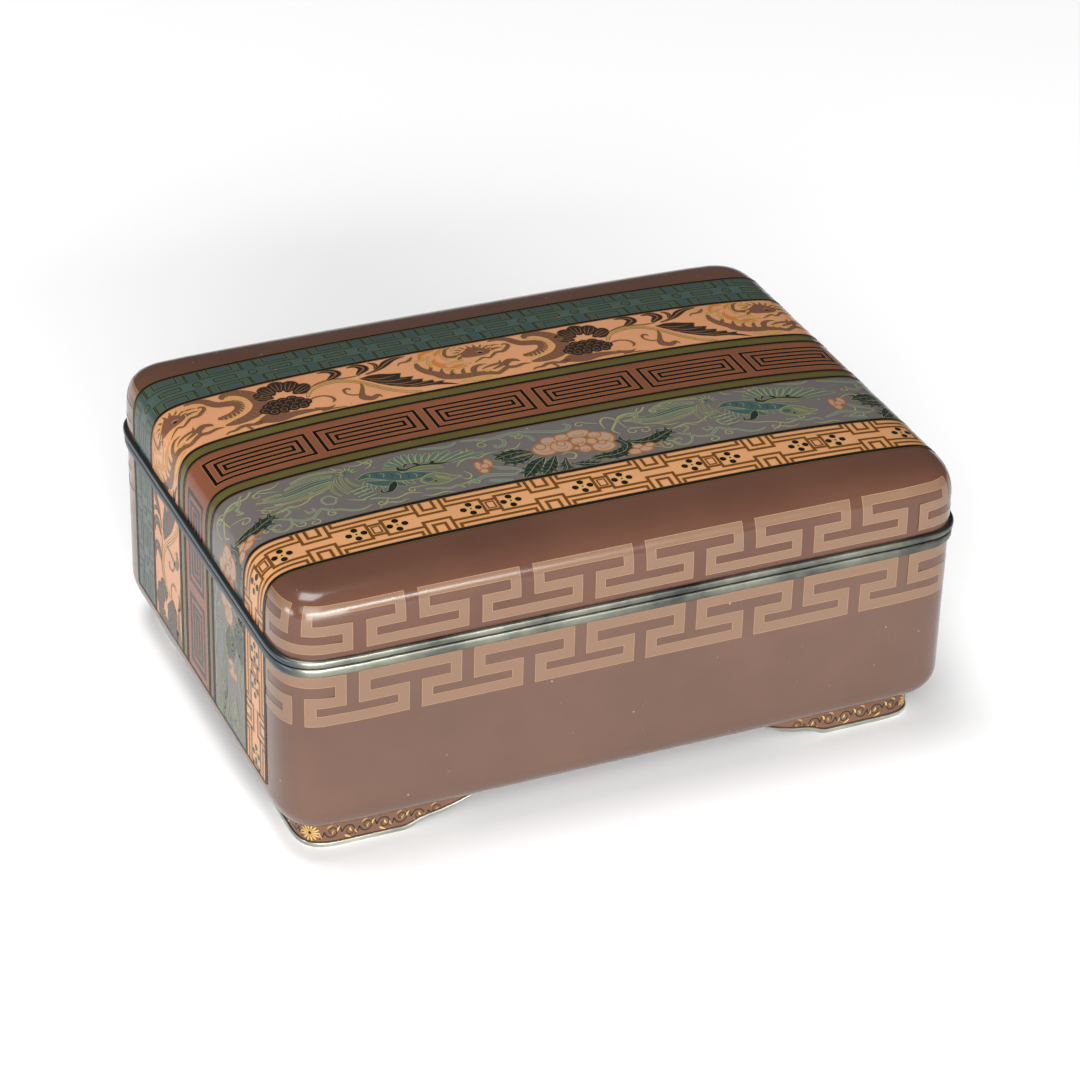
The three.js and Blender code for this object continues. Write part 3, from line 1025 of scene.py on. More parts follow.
# Strokes are (along the band, across the box, width), in millimetres, from the dragon's middle.
DRAGON_STEP = 64.6
DRAGON_BODY = [
    # the neck and the inner coil
    [(1.2, 26.1, 0.5), (3.4, 26.3, 1.3), (5.2, 25.5, 1.8), (6.1, 24.1, 2.0), (7.2, 22.9, 2.1),
     (8.9, 22.4, 2.2), (10.5, 21.9, 2.2), (10.9, 20.6, 2.1), (10.3, 19.1, 2.0), (8.6, 17.9, 1.9),
     (6.8, 17.5, 1.7), (5.5, 17.7, 0.9)],
    # the outer coil
    [(8.7, 24.4, 0.7), (9.0, 25.5, 1.5), (10.5, 26.0, 1.9), (12.5, 25.3, 2.4), (14.1, 23.6, 2.8),
     (14.8, 21.3, 3.0), (14.7, 18.9, 3.0), (13.3, 16.7, 3.0), (11.0, 15.3, 2.6), (8.4, 14.7, 2.0),
     (6.0, 14.5, 0.6)],
    # the hind part, running along the lower edge
    [(-15.9, 22.3, 0.7), (-16.1, 20.2, 1.5), (-15.2, 18.1, 1.8), (-13.7, 16.5, 2.0), (-12.8, 15.1, 2.2),
     (-10.6, 14.1, 2.2), (-8.2, 13.7, 2.0), (-6.0, 13.6, 1.8), (-3.8, 13.2, 1.5), (-2.2, 12.5, 1.2),
     (-0.8, 13.2, 1.1), (0.5, 14.0, 1.2), (2.3, 13.8, 1.0), (4.0, 14.3, 0.8), (5.6, 14.1, 0.2)],
    # flames and claws that rise from it
    [(-14.6, 18.2, 1.0), (-13.8, 19.4, 0.7), (-13.5, 20.6, 0.15)],
    [(-12.6, 15.6, 1.1), (-12.4, 17.2, 0.8), (-11.8, 18.4, 0.15)],
    [(-10.7, 14.9, 1.1), (-10.6, 16.2, 0.7), (-9.9, 17.0, 0.15)],
    [(-8.6, 14.8, 1.0), (-8.3, 16.0, 0.8), (-7.7, 16.9, 0.15)],
    [(-6.5, 14.4, 1.3), (-6.0, 15.9, 1.3), (-4.7, 16.9, 0.9), (-2.8, 17.0, 0.15)],
    [(-4.6, 15.1, 0.2), (-3.0, 15.8, 0.7), (-1.5, 16.1, 0.8), (-0.2, 16.4, 0.7), (0.2, 17.6, 0.15)],
    [(-2.4, 14.4, 0.5), (-0.9, 15.0, 0.8), (0.4, 15.8, 1.1), (1.8, 16.7, 1.3), (3.2, 16.4, 1.1),
     (3.9, 15.7, 0.3)],
    [(0.6, 14.4, 0.8), (1.0, 15.6, 1.0), (2.0, 16.2, 0.9)],
    # the jaw
    [(-4.8, 18.3, 0.2), (-3.5, 19.1, 0.5), (-2.3, 19.7, 0.6), (-1.2, 19.2, 0.6), (-0.2, 20.0, 0.7),
     (0.9, 20.9, 0.8), (2.4, 20.9, 0.9), (3.4, 21.7, 1.0), (4.3, 22.7, 0.9), (4.3, 23.5, 0.7),
     (3.7, 23.9, 0.5), (3.2, 23.5, 0.3)],
    # the brow and whiskers
    [(-0.8, 23.4, 1.2), (0.4, 24.0, 0.7), (1.6, 24.2, 0.5), (2.9, 24.0, 0.15)],
    [(-0.6, 22.2, 1.4), (0.8, 22.6, 0.9), (2.2, 22.8, 0.5), (3.0, 22.6, 0.2)],
    [(-6.4, 22.1, 1.2), (-7.8, 22.2, 1.1), (-8.9, 22.5, 0.9), (-9.2, 23.5, 0.8), (-8.8, 24.7, 0.8),
     (-8.1, 25.8, 0.6), (-7.0, 26.3, 0.2)],
    [(-6.3, 21.6, 0.9), (-7.0, 21.0, 0.7), (-7.6, 20.6, 0.15)],
    # a trail of cloud under the coils
    [(4.9, 11.2, 0.2), (5.8, 11.8, 0.6), (7.2, 11.9, 0.8), (8.4, 12.5, 1.0), (9.8, 12.6, 1.0),
     (11.2, 12.2, 1.0), (12.4, 12.3, 1.3), (13.6, 13.4, 1.4), (15.2, 14.1, 1.5), (17.2, 13.9, 1.6),
     (18.8, 13.3, 1.2)],
    [(9.6, 12.2, 0.6), (10.1, 11.0, 0.7), (9.9, 10.5, 0.3)],
]
DRAGON_HEAD = [
    (-7.0, 22.3), (-6.3, 21.2), (-4.9, 20.7), (-3.0, 20.6), (-1.2, 20.8), (0.0, 21.6), (0.4, 22.6),
    (-0.2, 23.6), (-1.2, 24.1), (-1.9, 25.0), (-3.1, 25.4), (-4.2, 24.7), (-5.2, 23.7), (-6.4, 23.0),
]
DRAGON_CREST = [
    (9.5, 24.7), (10.6, 24.4), (11.8, 23.5), (12.7, 22.2), (12.9, 20.6), (12.3, 18.9), (11.0, 17.5),
    (9.3, 16.7), (7.6, 16.1), (6.2, 15.6),
]
ORANGE_FLAMES = [
    [(-14.7, 23.2, 0.3), (-14.2, 24.6, 0.8), (-13.2, 25.9, 1.0), (-11.6, 26.3, 0.9), (-10.6, 26.0, 0.2)],
    [(-11.2, 23.9, 0.3), (-10.6, 24.8, 0.8), (-9.8, 25.6, 0.8), (-9.0, 26.4, 0.3)],
    [(-11.6, 22.9, 0.2), (-12.3, 21.8, 0.9), (-12.1, 20.4, 1.4), (-11.4, 19.2, 1.5), (-10.6, 18.2, 0.3)],
    [(-10.6, 18.0, 0.3), (-9.2, 17.9, 0.9), (-7.9, 18.2, 0.6), (-7.0, 18.1, 0.2)],
]
GOLD_CURLS = [
    [(-15.9, 23.1, 0.3), (-14.4, 23.2, 0.4), (-13.2, 23.8, 0.4), (-12.0, 24.1, 0.3)],
    [(-13.6, 19.4, 0.2), (-13.7, 21.0, 0.4), (-13.2, 22.6, 0.4), (-13.2, 23.6, 0.2)],
    [(-11.2, 20.1, 0.2), (-9.7, 19.8, 0.45), (-8.4, 20.2, 0.45), (-6.5, 19.9, 0.2)],
    [(-9.6, 18.5, 0.2), (-8.2, 18.8, 0.4), (-6.8, 18.5, 0.4), (-5.4, 18.4, 0.2)],
    [(-11.5, 17.6, 0.2), (-9.9, 17.3, 0.4), (-8.2, 17.4, 0.3), (-6.6, 17.6, 0.2)],
    [(-10.4, 11.9, 0.2), (-8.6, 11.7, 0.6), (-6.6, 11.4, 0.8), (-4.8, 11.8, 0.6), (-3.6, 11.6, 0.2)],
    [(-9.4, 21.2, 0.2), (-9.9, 22.4, 0.4), (-9.8, 23.8, 0.4), (-9.2, 25.2, 0.3), (-8.4, 26.4, 0.2)],
    [(-7.4, 25.0, 0.2), (-6.6, 25.6, 0.4), (-5.9, 26.4, 0.2)],
    [(-4.4, 14.6, 0.2), (-3.8, 14.1, 0.7), (-2.9, 14.2, 0.2)],
]
PEONY_MIDDLE = 19.6
# The peony's lobes are (along, across, half width, half height), and its heart is rows of small rounds.
PEONY_LOBES = [
    (15.9, 21.6, 1.5, 2.0), (17.5, 23.4, 1.8, 2.0), (20.0, 24.3, 1.9, 2.0), (22.4, 23.4, 1.8, 2.1),
    (24.3, 21.3, 1.6, 2.2),
]
PEONY_ROWS = [
    (18.3, (17.2, 19.1, 21.0)),
    (17.2, (15.8, 17.9, 20.0, 22.1)),
    (16.0, (14.8, 16.8, 18.9, 21.0, 23.1)),
    (14.9, (16.2, 18.2, 20.3, 22.2)),
]
PEONY_HEART = [(x, y) for y, xs in PEONY_ROWS for x in xs]
BROWN_LEAVES = [
    [(11.4, 12.6, 0.5), (13.6, 12.5, 2.0), (16.4, 12.1, 2.6), (19.6, 12.5, 2.0), (22.6, 12.3, 1.4),
     (25.0, 11.7, 0.3)],
    [(23.8, 12.9, 0.3), (25.2, 11.8, 1.3), (26.5, 11.7, 0.9), (27.9, 12.3, 0.15)],
    [(35.6, 18.5, 0.4), (35.2, 16.7, 0.8), (34.3, 14.5, 1.2), (34.1, 12.9, 1.9), (35.5, 12.0, 1.6),
     (37.0, 12.7, 1.0), (37.6, 11.7, 0.15)],
    [(45.0, 22.7, 0.2), (45.8, 23.6, 0.5), (47.2, 23.7, 0.7), (48.2, 24.3, 0.8), (49.0, 25.4, 0.2)],
    [(24.6, 11.0, 0.2), (27.2, 11.2, 0.5), (30.0, 10.8, 0.2)],
]
TENDRILS = [
    [(34.2, 14.2, 0.5), (32.5, 14.6, 0.5), (31.4, 15.8, 0.5), (31.5, 17.2, 0.7), (32.3, 17.5, 0.7),
     (32.8, 16.9, 0.4)],
    [(23.4, 15.5, 0.3), (24.8, 16.7, 0.5), (26.8, 16.8, 0.5), (28.2, 15.8, 0.6), (28.5, 14.4, 0.7),
     (27.8, 13.5, 0.2)],
    [(25.8, 20.9, 0.3), (27.8, 22.0, 0.5), (30.2, 22.5, 0.5), (32.4, 22.1, 0.5), (34.4, 21.8, 0.5),
     (36.6, 21.9, 0.3)],
]
VINE = [
    (24.0, 17.5, 0.5), (25.4, 19.8, 0.9), (27.6, 21.0, 1.0), (30.2, 21.4, 1.05), (32.7, 20.9, 1.05),
    (35.1, 19.4, 1.05), (37.0, 17.3, 1.05), (38.8, 15.1, 1.05), (40.8, 13.2, 1.0), (43.0, 11.8, 0.9),
    (45.6, 10.9, 0.6),
]
DARK_LEAVES = [
    [(30.0, 22.4, 0.5), (31.3, 23.2, 1.4), (32.5, 24.3, 2.0), (32.1, 25.5, 1.8), (30.9, 26.1, 1.0),
     (29.1, 26.1, 0.15)],
    [(36.2, 22.2, 0.5), (37.2, 23.1, 1.4), (38.3, 24.2, 2.0), (37.9, 25.4, 1.8), (36.8, 26.0, 1.0),
     (35.2, 25.9, 0.15)],
    [(40.2, 23.2, 0.2), (41.0, 24.5, 0.8), (40.7, 25.6, 0.7), (39.8, 26.2, 0.15)],
    [(37.8, 21.7, 0.3), (40.0, 22.4, 0.6), (41.8, 23.5, 1.3), (43.4, 24.9, 1.7), (45.3, 25.9, 1.1),
     (47.8, 26.2, 0.15)],
]
SERRATED_LEAF = [
    (35.9, 20.4), (37.4, 18.7), (38.9, 17.0), (40.6, 15.4), (43.2, 13.7), (45.8, 12.7), (48.6, 12.5),
    (50.8, 11.9), (53.6, 10.9), (52.2, 12.0), (50.7, 12.8), (51.3, 13.5), (49.2, 13.6), (49.3, 14.5),
    (47.1, 14.6), (47.6, 15.7), (45.3, 16.0), (46.2, 17.4), (43.6, 17.8), (44.4, 19.5), (42.2, 20.1),
    (40.4, 20.8), (38.2, 21.0),
]
SERRATED_VEINS = [
    [(36.4, 20.3, 0.15), (39.6, 18.9, 0.3), (43.0, 19.0, 0.1)],
    [(37.6, 18.9, 0.15), (41.2, 17.2, 0.3), (44.9, 17.1, 0.1)],
    [(39.2, 17.1, 0.15), (42.6, 15.5, 0.3), (46.4, 15.4, 0.1)],
    [(41.2, 15.4, 0.15), (44.6, 14.2, 0.3), (48.2, 14.2, 0.1)],
    [(44.2, 13.7, 0.15), (46.8, 13.3, 0.25), (50.0, 13.2, 0.1)],
]
BROWN, GOLD, ORANGE, DARK, BLACK, BRONZE = range(6)


def draw_mane(bm):
    """Gold flames round the dragon's head, with brown ones between them."""
    x, y = -3.3, 22.9
    for i in range(19):
        angle = math.radians(208 - i * 11.5)
        root = (x + 2.9 * math.cos(angle), y + 1.9 * math.sin(angle))
        reach = 1.9 if i % 2 else 1.45
        tip = (root[0] + reach * math.cos(angle + 0.25), root[1] + reach * math.sin(angle + 0.25))
        middle = ((root[0] + tip[0]) / 2 + 0.12, (root[1] + tip[1]) / 2 + 0.1)
        flame = [(*root, 0.45), (*middle, 0.34), (*tip, 0.06)]
        stroke(bm, flame, level(3), GOLD if i % 2 else BROWN, steps=3)


def draw_ribs(bm, points, low, high):
    """Curved ribs across a coil, between two shares of its length."""
    line = smooth(points, 6)
    for i in range(int(len(line) * low), int(len(line) * high), 3):
        x, y, width = line[i]
        dx, dy = heading(line[i], line[i + 1])
        out_x, out_y = -dy * width * 0.36, dx * width * 0.36
        rib = [(x - out_x, y - out_y, 0.08), (x + dx * 0.3, y + dy * 0.3, 0.12), (x + out_x, y + out_y, 0.08)]
        stroke(bm, rib, level(2), BRONZE, steps=3)


def draw_dragon(bm):
    outlined(bm, DRAGON_BODY, 0, BROWN, GOLD)
    head = smooth([(*p, 0) for p in DRAGON_HEAD], 4, closed=True)[:, :2]
    patch(bm, head, level(1), BROWN)
    ribbon(bm, head, 0.16, level(2), GOLD, closed=True)
    draw_mane(bm)
    patch(bm, oval(-2.1, 21.95, 0.46, 0.3, 10, -0.3), level(4), BLACK)
    stroke(bm, [(-2.9, 22.5, 0.1), (-2.1, 22.6, 0.2), (-1.3, 22.3, 0.1)], level(4), GOLD, steps=3)
    teeth(bm, DRAGON_CREST, 15, 1.9, 0.44, level(3), GOLD, lean=-0.35)
    inner_coil, outer_coil = DRAGON_BODY[1], DRAGON_BODY[2]
    draw_ribs(bm, inner_coil, 0.15, 0.95)
    draw_ribs(bm, outer_coil, 0.1, 0.7)
    outlined(bm, ORANGE_FLAMES, 1, ORANGE, GOLD, grow=0.4, high=2)
    for points in GOLD_CURLS:
        stroke(bm, points, level(2), BRONZE, grow=0.16)
        stroke(bm, points, level(3), GOLD)


def draw_peony_lobe(bm, step, x, y, wide, tall, heart):
    """A dark lobe with a wedge towards the flower's heart and three bronze veins."""
    patch(bm, oval(x, y, wide, tall, turn=(PEONY_MIDDLE - x) * 0.12), level(1 + 0.05 * step), DARK)
    dx, dy = heading(heart, (x, y))
    root = (x - dx * (tall + 0.5), y - dy * (tall + 0.5))
    wedge = [(*root, 0.7), (x - dx * tall * 0.5, y - dy * tall * 0.5, wide * 1.6), (x, y, wide * 1.8)]
    stroke(bm, wedge, level(1.4 + 0.05 * step), DARK, steps=4)
    for side in (-0.5, 0.0, 0.5):
        tip = (x + dx * tall * 0.7 - dy * side * wide, y + dy * tall * 0.7 + dx * side * wide)
        foot = (x - dx * tall * 0.9 - dy * side * 0.8, y - dy * tall * 0.9 + dx * side * 0.8)
        middle = ((tip[0] + foot[0]) / 2 - dy * side * 0.5, (tip[1] + foot[1]) / 2 + dx * side * 0.5)
        stroke(bm, [(*foot, 0.14), (*middle, 0.16), (*tip, 0.05)], level(2), BRONZE, steps=3)


def draw_peony_flower(bm):
    for x, y, wide, tall in PEONY_LOBES:
        patch(bm, oval(x, y, wide + 0.2, tall + 0.2, turn=(PEONY_MIDDLE - x) * 0.12), level(0), BRONZE)
    for step, lobe in enumerate(PEONY_LOBES):
        draw_peony_lobe(bm, step, *lobe, heart=(PEONY_MIDDLE, 18.6))
    for step, (x, y) in enumerate(PEONY_HEART):
        for rise, (size, slot) in enumerate(((1.28, BLACK), (1.14, DARK), (0.74, BRONZE), (0.62, DARK))):
            spot(bm, x, y, size, level(2 + 0.35 * step + 0.08 * rise), slot)


def draw_peony(bm):
    outlined(bm, BROWN_LEAVES, 0, BROWN, GOLD, grow=0.3)
    for points in TENDRILS:
        stroke(bm, points, level(0), GOLD, grow=0.22)
        stroke(bm, points, level(1), BROWN)
    draw_peony_flower(bm)
    for step, (slot, grow) in enumerate(((BROWN, 0.12), (GOLD, -0.2), (BROWN, -0.84))):
        stroke(bm, VINE, level(step), slot, grow=grow)
    outlined(bm, DARK_LEAVES, 1, DARK, BRONZE, grow=0.24, high=2)
    for points in DARK_LEAVES:
        stroke(bm, [(x, y, 0.1 + w * 0.14) for x, y, w in points], level(3), BRONZE)
    patch(bm, SERRATED_LEAF, level(2), DARK)
    ribbon(bm, SERRATED_LEAF, 0.14, level(3), BRONZE, closed=True)
    for points in SERRATED_VEINS:
        stroke(bm, points, level(3), BRONZE)


def lay_dragon_scene():
    bm = bmesh.new()
    for draw in (draw_dragon, draw_peony):
        stamp(bm, tile_of(draw), [(i * DRAGON_STEP, 0) for i in range(-2, 3)])
    trim_to_band(bm, "peach")
    materials = [
        enamel("umber_brown_enamel", (118, 80, 62)),
        wire_metal("bright_gold_wire", (188, 146, 78), metallic=0.3),
        enamel("orange_enamel", (192, 118, 62)),
        enamel("dark_aubergine_enamel", (50, 38, 32)),
        enamel("jet_enamel", (24, 20, 16)),
        wire_metal("bronze_line_wire", (128, 90, 56), metallic=0.3),
    ]
    lay_band("dragon_scene", bm, materials)


lay_dragon_scene()


# ------------------------------------------------------------------ phoenix and peony band

PHOENIX_STEP = 76.0
LINE, TEAL, SKY, DEEP, ROSE, ORANGE_LINE, PALE, MOSS = range(8)
TAIL_FEATHERS = [
    ([(-47.2, -13.8, 0.9), (-50.4, -13.8, 1.3), (-53.8, -14.5, 1.2), (-57.4, -15.1, 0.9),
      (-61.4, -14.6, 0.2)], TEAL),
    ([(-47.6, -14.8, 0.5), (-51.0, -15.3, 0.8), (-54.6, -16.2, 0.8), (-58.6, -16.1, 0.6),
      (-63.0, -14.9, 0.2)], SKY),
    ([(-46.8, -12.7, 0.5), (-50.0, -12.1, 0.7), (-53.2, -12.3, 0.7), (-56.6, -13.3, 0.2)], SKY),
    ([(-45.6, -11.4, 0.4), (-49.0, -10.7, 0.6), (-52.0, -10.8, 0.5), (-55.0, -11.8, 0.2)], MOSS),
    ([(-47.8, -15.8, 0.4), (-51.0, -16.9, 0.6), (-54.0, -17.6, 0.6), (-57.0, -17.7, 0.4),
      (-60.0, -17.2, 0.15)], MOSS),
]
NECK_PLUMES = [
    [(-46.6, -13.6, 0.3), (-47.1, -15.8, 0.5), (-46.7, -18.2, 0.5), (-46.2, -20.0, 0.2)],
    [(-45.6, -13.8, 0.3), (-45.9, -16.2, 0.5), (-45.4, -18.8, 0.5), (-44.4, -21.0, 0.2)],
    [(-47.4, -14.6, 0.2), (-48.4, -16.6, 0.4), (-48.4, -18.6, 0.4), (-47.6, -20.2, 0.2)],
    [(-44.8, -14.4, 0.2), (-44.6, -16.4, 0.4), (-43.8, -18.0, 0.4), (-42.6, -18.8, 0.2)],
]
BIRD_BODY = [
    [(-43.2, -16.2, 0.3), (-41.0, -15.5, 1.7), (-38.6, -16.2, 2.8), (-35.8, -17.6, 3.5), (-32.9, -18.7, 2.9),
     (-30.2, -19.3, 1.5), (-28.0, -19.4, 0.3)],
    [(-41.8, -17.4, 0.4), (-40.1, -18.7, 1.6), (-38.0, -19.6, 2.0), (-36.2, -20.6, 1.3), (-35.0, -21.8, 0.2)],
]
WING_TIPS = [
    (-37.0, -13.9), (-36.2, -12.6), (-34.9, -11.6), (-33.4, -11.1), (-31.9, -10.9), (-30.4, -11.2),
    (-28.9, -11.7), (-27.2, -12.1), (-25.2, -12.3), (-23.0, -12.7), (-20.8, -13.6), (-18.6, -14.5),
    (-17.0, -15.8),
]
WING_ROOTS = [
    (-34.8, -15.0), (-34.3, -14.6), (-33.6, -14.5), (-32.8, -14.4), (-31.9, -14.5), (-31.0, -14.7),
    (-30.1, -14.9), (-29.2, -15.1), (-28.2, -15.4), (-27.2, -15.7), (-26.2, -16.0), (-25.2, -16.4),
    (-24.2, -16.9),
]
WING_BAND = [(-34.6, -16.9, 0.3), (-32.4, -16.7, 0.9), (-30.0, -16.9, 1.1), (-28.0, -17.4, 0.9),
             (-26.3, -18.2, 0.2)]
DARK_CURLS = [
    [(-34.4, -14.9, 0.3), (-34.5, -15.8, 0.9), (-33.5, -16.4, 0.7), (-32.2, -16.0, 0.4), (-30.6, -15.8, 0.5),
     (-29.0, -16.0, 0.5), (-27.4, -16.3, 0.7), (-25.9, -16.7, 0.6), (-24.4, -16.6, 0.15)],
    [(-33.4, -15.6, 0.2), (-33.0, -14.9, 0.5), (-32.3, -14.4, 0.4)],
    [(-30.2, -15.7, 0.4), (-30.9, -15.0, 0.8), (-31.4, -14.7, 0.2)],
    [(-28.2, -16.1, 0.4), (-27.6, -15.6, 0.8), (-27.0, -15.3, 0.2)],
    [(-39.8, -22.4, 0.2), (-38.6, -22.1, 1.0), (-37.7, -21.0, 1.5), (-37.1, -20.1, 1.2), (-36.6, -19.3, 0.2)],
    [(-39.8, -22.4, 0.3), (-40.3, -22.0, 0.5), (-40.1, -21.3, 0.3)],
]
SECOND_HEAD = [
    (-32.0, -20.8), (-30.8, -19.8), (-28.9, -19.4), (-27.0, -20.2), (-25.9, -21.4), (-24.3, -22.2),
    (-25.9, -22.8), (-27.6, -23.4), (-29.4, -23.5), (-31.0, -22.8), (-31.9, -21.8),
]
PALE_RIBBONS = [
    [(-24.2, -25.4, 0.2), (-21.9, -24.6, 0.6), (-19.7, -23.9, 0.8), (-17.1, -24.5, 0.7), (-14.7, -25.2, 0.5),
     (-12.8, -24.4, 0.2)],
    [(-20.0, -25.6, 0.3), (-17.8, -26.4, 0.8), (-15.6, -26.9, 0.2)],
    [(-17.4, -21.2, 0.3), (-16.2, -22.3, 0.8), (-14.2, -23.2, 0.6), (-12.5, -24.2, 0.3)],
    [(-28.4, -10.1, 0.2), (-25.6, -10.9, 0.5), (-22.6, -11.3, 0.5), (-20.6, -10.4, 0.2)],
    [(-32.4, -24.1, 0.2), (-30.2, -24.6, 0.4), (-28.0, -25.5, 0.4), (-26.2, -25.1, 0.4), (-25.1, -26.2, 0.2)],
]
PEONY_RIBBONS = [
    [(-19.8, -10.3, 0.2), (-17.0, -10.9, 0.5), (-13.6, -11.6, 0.6), (-10.2, -11.1, 0.7), (-6.8, -11.4, 0.6),
     (-3.4, -12.6, 0.6), (-0.6, -13.5, 0.6), (1.2, -13.4, 0.6), (2.2, -12.2, 0.6), (1.4, -11.1, 0.3)],
    [(-12.4, -11.9, 0.3), (-11.8, -13.3, 0.5), (-12.6, -14.8, 0.6), (-14.0, -14.9, 0.5), (-14.1, -14.0, 0.3)],
    [(-10.2, -12.0, 0.3), (-7.6, -12.5, 0.4), (-6.5, -13.9, 0.5), (-6.5, -15.4, 0.2)],
]
SCROLLS = [
    [(-65.6, -21.9, 0.2), (-62.2, -21.6, 0.4), (-60.0, -22.6, 0.5), (-57.6, -24.4, 0.6), (-55.4, -24.8, 0.6),
     (-53.8, -23.6, 0.7), (-52.6, -22.6, 0.6), (-51.2, -23.8, 0.7), (-49.4, -24.3, 0.6), (-47.4, -25.6, 0.6),
     (-45.4, -25.9, 0.5), (-43.4, -25.1, 0.2)],
    [(-58.8, -22.6, 0.3), (-59.3, -25.0, 0.5), (-61.0, -26.3, 0.5), (-62.8, -25.6, 0.5), (-62.8, -24.2, 0.5),
     (-61.5, -23.8, 0.4), (-61.3, -24.7, 0.2)],
    [(-59.8, -22.0, 0.3), (-58.3, -20.9, 0.5), (-58.6, -19.7, 0.5), (-59.8, -20.2, 0.2)],
    [(-55.6, -21.6, 0.2), (-55.2, -22.8, 0.5), (-53.9, -22.4, 0.5), (-54.2, -21.4, 0.2)],
    [(-65.0, -11.4, 0.4), (-65.6, -13.0, 0.5), (-66.6, -14.6, 0.5), (-66.0, -16.2, 0.4), (-67.4, -15.4, 0.2)],
    [(-69.6, -17.0, 0.2), (-70.0, -13.8, 0.4), (-68.2, -12.6, 0.5), (-66.4, -12.8, 0.4), (-64.4, -10.6, 0.3)],
    [(-48.6, -20.6, 0.3), (-50.0, -19.0, 0.4), (-51.6, -19.8, 0.4), (-51.2, -21.6, 0.4), (-49.6, -21.8, 0.4),
     (-49.0, -20.6, 0.2)],
]
# Thin wisps of cloud between the birds, which taper at their ends.
WISP_LINES = [
    [(-47.4, -21.6), (-44.6, -23.0), (-41.6, -23.6), (-38.6, -24.9), (-35.6, -24.2), (-33.2, -25.2)],
    [(-58.2, -18.7), (-56.2, -19.6), (-54.2, -19.0), (-52.6, -17.8), (-50.2, -17.4)],
    [(-63.6, -17.0), (-61.2, -18.5), (-58.8, -18.3)],
    [(-24.0, -19.0), (-22.6, -17.5), (-20.6, -16.8), (-18.6, -17.4), (-16.8, -16.5), (-14.4, -16.4)],
    [(-23.4, -20.8), (-22.4, -22.4), (-23.3, -23.7), (-24.7, -22.9)],
    [(-65.8, -25.9), (-68.0, -24.6), (-70.0, -25.2), (-71.6, -24.0), (-71.0, -22.8), (-69.6, -23.3)],
    [(-63.8, -19.2), (-61.2, -20.1), (-58.2, -19.3), (-56.0, -20.6)],
    [(-49.8, -16.2), (-51.6, -16.8), (-53.4, -16.2)],
    [(-43.6, -10.2), (-41.2, -11.2), (-39.4, -10.6), (-38.8, -12.0), (-40.2, -13.0)],
    [(-56.6, -10.2), (-58.6, -11.4), (-61.0, -11.2), (-62.6, -12.4)],
    [(-36.4, -25.8), (-38.4, -26.4), (-40.8, -25.6), (-42.6, -26.8)],
    [(-14.8, -17.6), (-12.6, -16.6), (-10.6, -16.4), (-9.0, -14.8)],
    [(-46.2, -9.9), (-45.6, -10.9), (-44.2, -11.3)],
    [(-33.6, -25.9), (-31.6, -26.6), (-29.2, -26.3), (-27.4, -27.2)],
]
WISPS = []
for line in WISP_LINES:
    widths = [0.1] + [0.32] * (len(line) - 2) + [0.1]
    WISPS.append([(x, y, width) for (x, y), width in zip(line, widths)])
# Small clouds: where each curls, how wide, which way and from what angle it starts.
CLOUD_CURLS = [
    (-61.8, -12.6, 1.3, 1, 0.4), (-55.2, -26.2, 1.2, -1, 1.0), (-51.2, -24.9, 1.0, 1, 2.2),
    (-41.6, -25.4, 1.1, -1, 0.2), (-38.8, -10.6, 1.2, 1, 3.0), (-34.6, -23.4, 1.0, 1, 0.9),
    (-22.6, -25.2, 1.2, -1, 2.6), (-16.2, -13.2, 1.3, 1, 1.6), (-8.8, -12.8, 1.0, -1, 0.6),
    (4.4, -12.6, 1.3, 1, 0.2), (16.6, -15.0, 1.2, -1, 2.0), (13.2, -18.4, 1.4, 1, 0.8),
    (17.4, -25.6, 1.2, 1, 2.8), (-66.6, -18.8, 1.3, -1, 1.4), (-64.2, -24.6, 1.0, 1, 0.0),
    (-20.8, -14.6, 1.0, -1, 0.4),
]
FLANK_FEATHERS = [
    [
        (-41.8 + 1.5 * i, -17.2 - 0.35 * i, 0.3),
        (-42.6 + 1.7 * i, -18.9 - 0.3 * i, 0.9),
        (-43.4 + 2.0 * i, -20.6 - 0.2 * i, 0.15),
    ]
    for i in range(6)
]
# Petals are (along, across, half width, half height).
PEONY_PETALS = [
    (-5.6, -18.9, 2.6, 2.2), (-3.8, -16.4, 1.7, 1.6), (-0.9, -16.0, 1.6, 1.3), (2.6, -15.7, 2.4, 1.5),
    (7.0, -18.8, 1.8, 2.2), (5.5, -21.6, 2.4, 1.9), (-2.2, -19.0, 2.3, 2.1), (1.7, -18.3, 1.7, 1.5),
    (5.4, -17.2, 1.4, 1.2), (4.0, -19.2, 1.1, 1.2), (1.7, -21.3, 1.3, 1.3), (-6.2, -17.8, 1.1, 1.1),
    (-2.0, -18.1, 0.9, 1.0), (5.7, -20.3, 0.9, 0.7), (0.2, -20.7, 0.6, 0.6), (1.6, -19.7, 0.8, 0.6),
]
SMALL_PETALS = [
    (10.4, -25.5, 1.4, 1.0), (12.8, -25.2, 1.4, 1.0), (11.6, -23.9, 1.1, 0.8), (14.0, -24.2, 1.0, 0.7),
]
BUD_PETALS = [
    (-19.9, -20.4, 0.8, 1.7), (-17.9, -19.8, 0.8, 1.5), (-19.6, -22.2, 0.9, 0.9), (-18.8, -20.6, 0.9, 0.9),
]
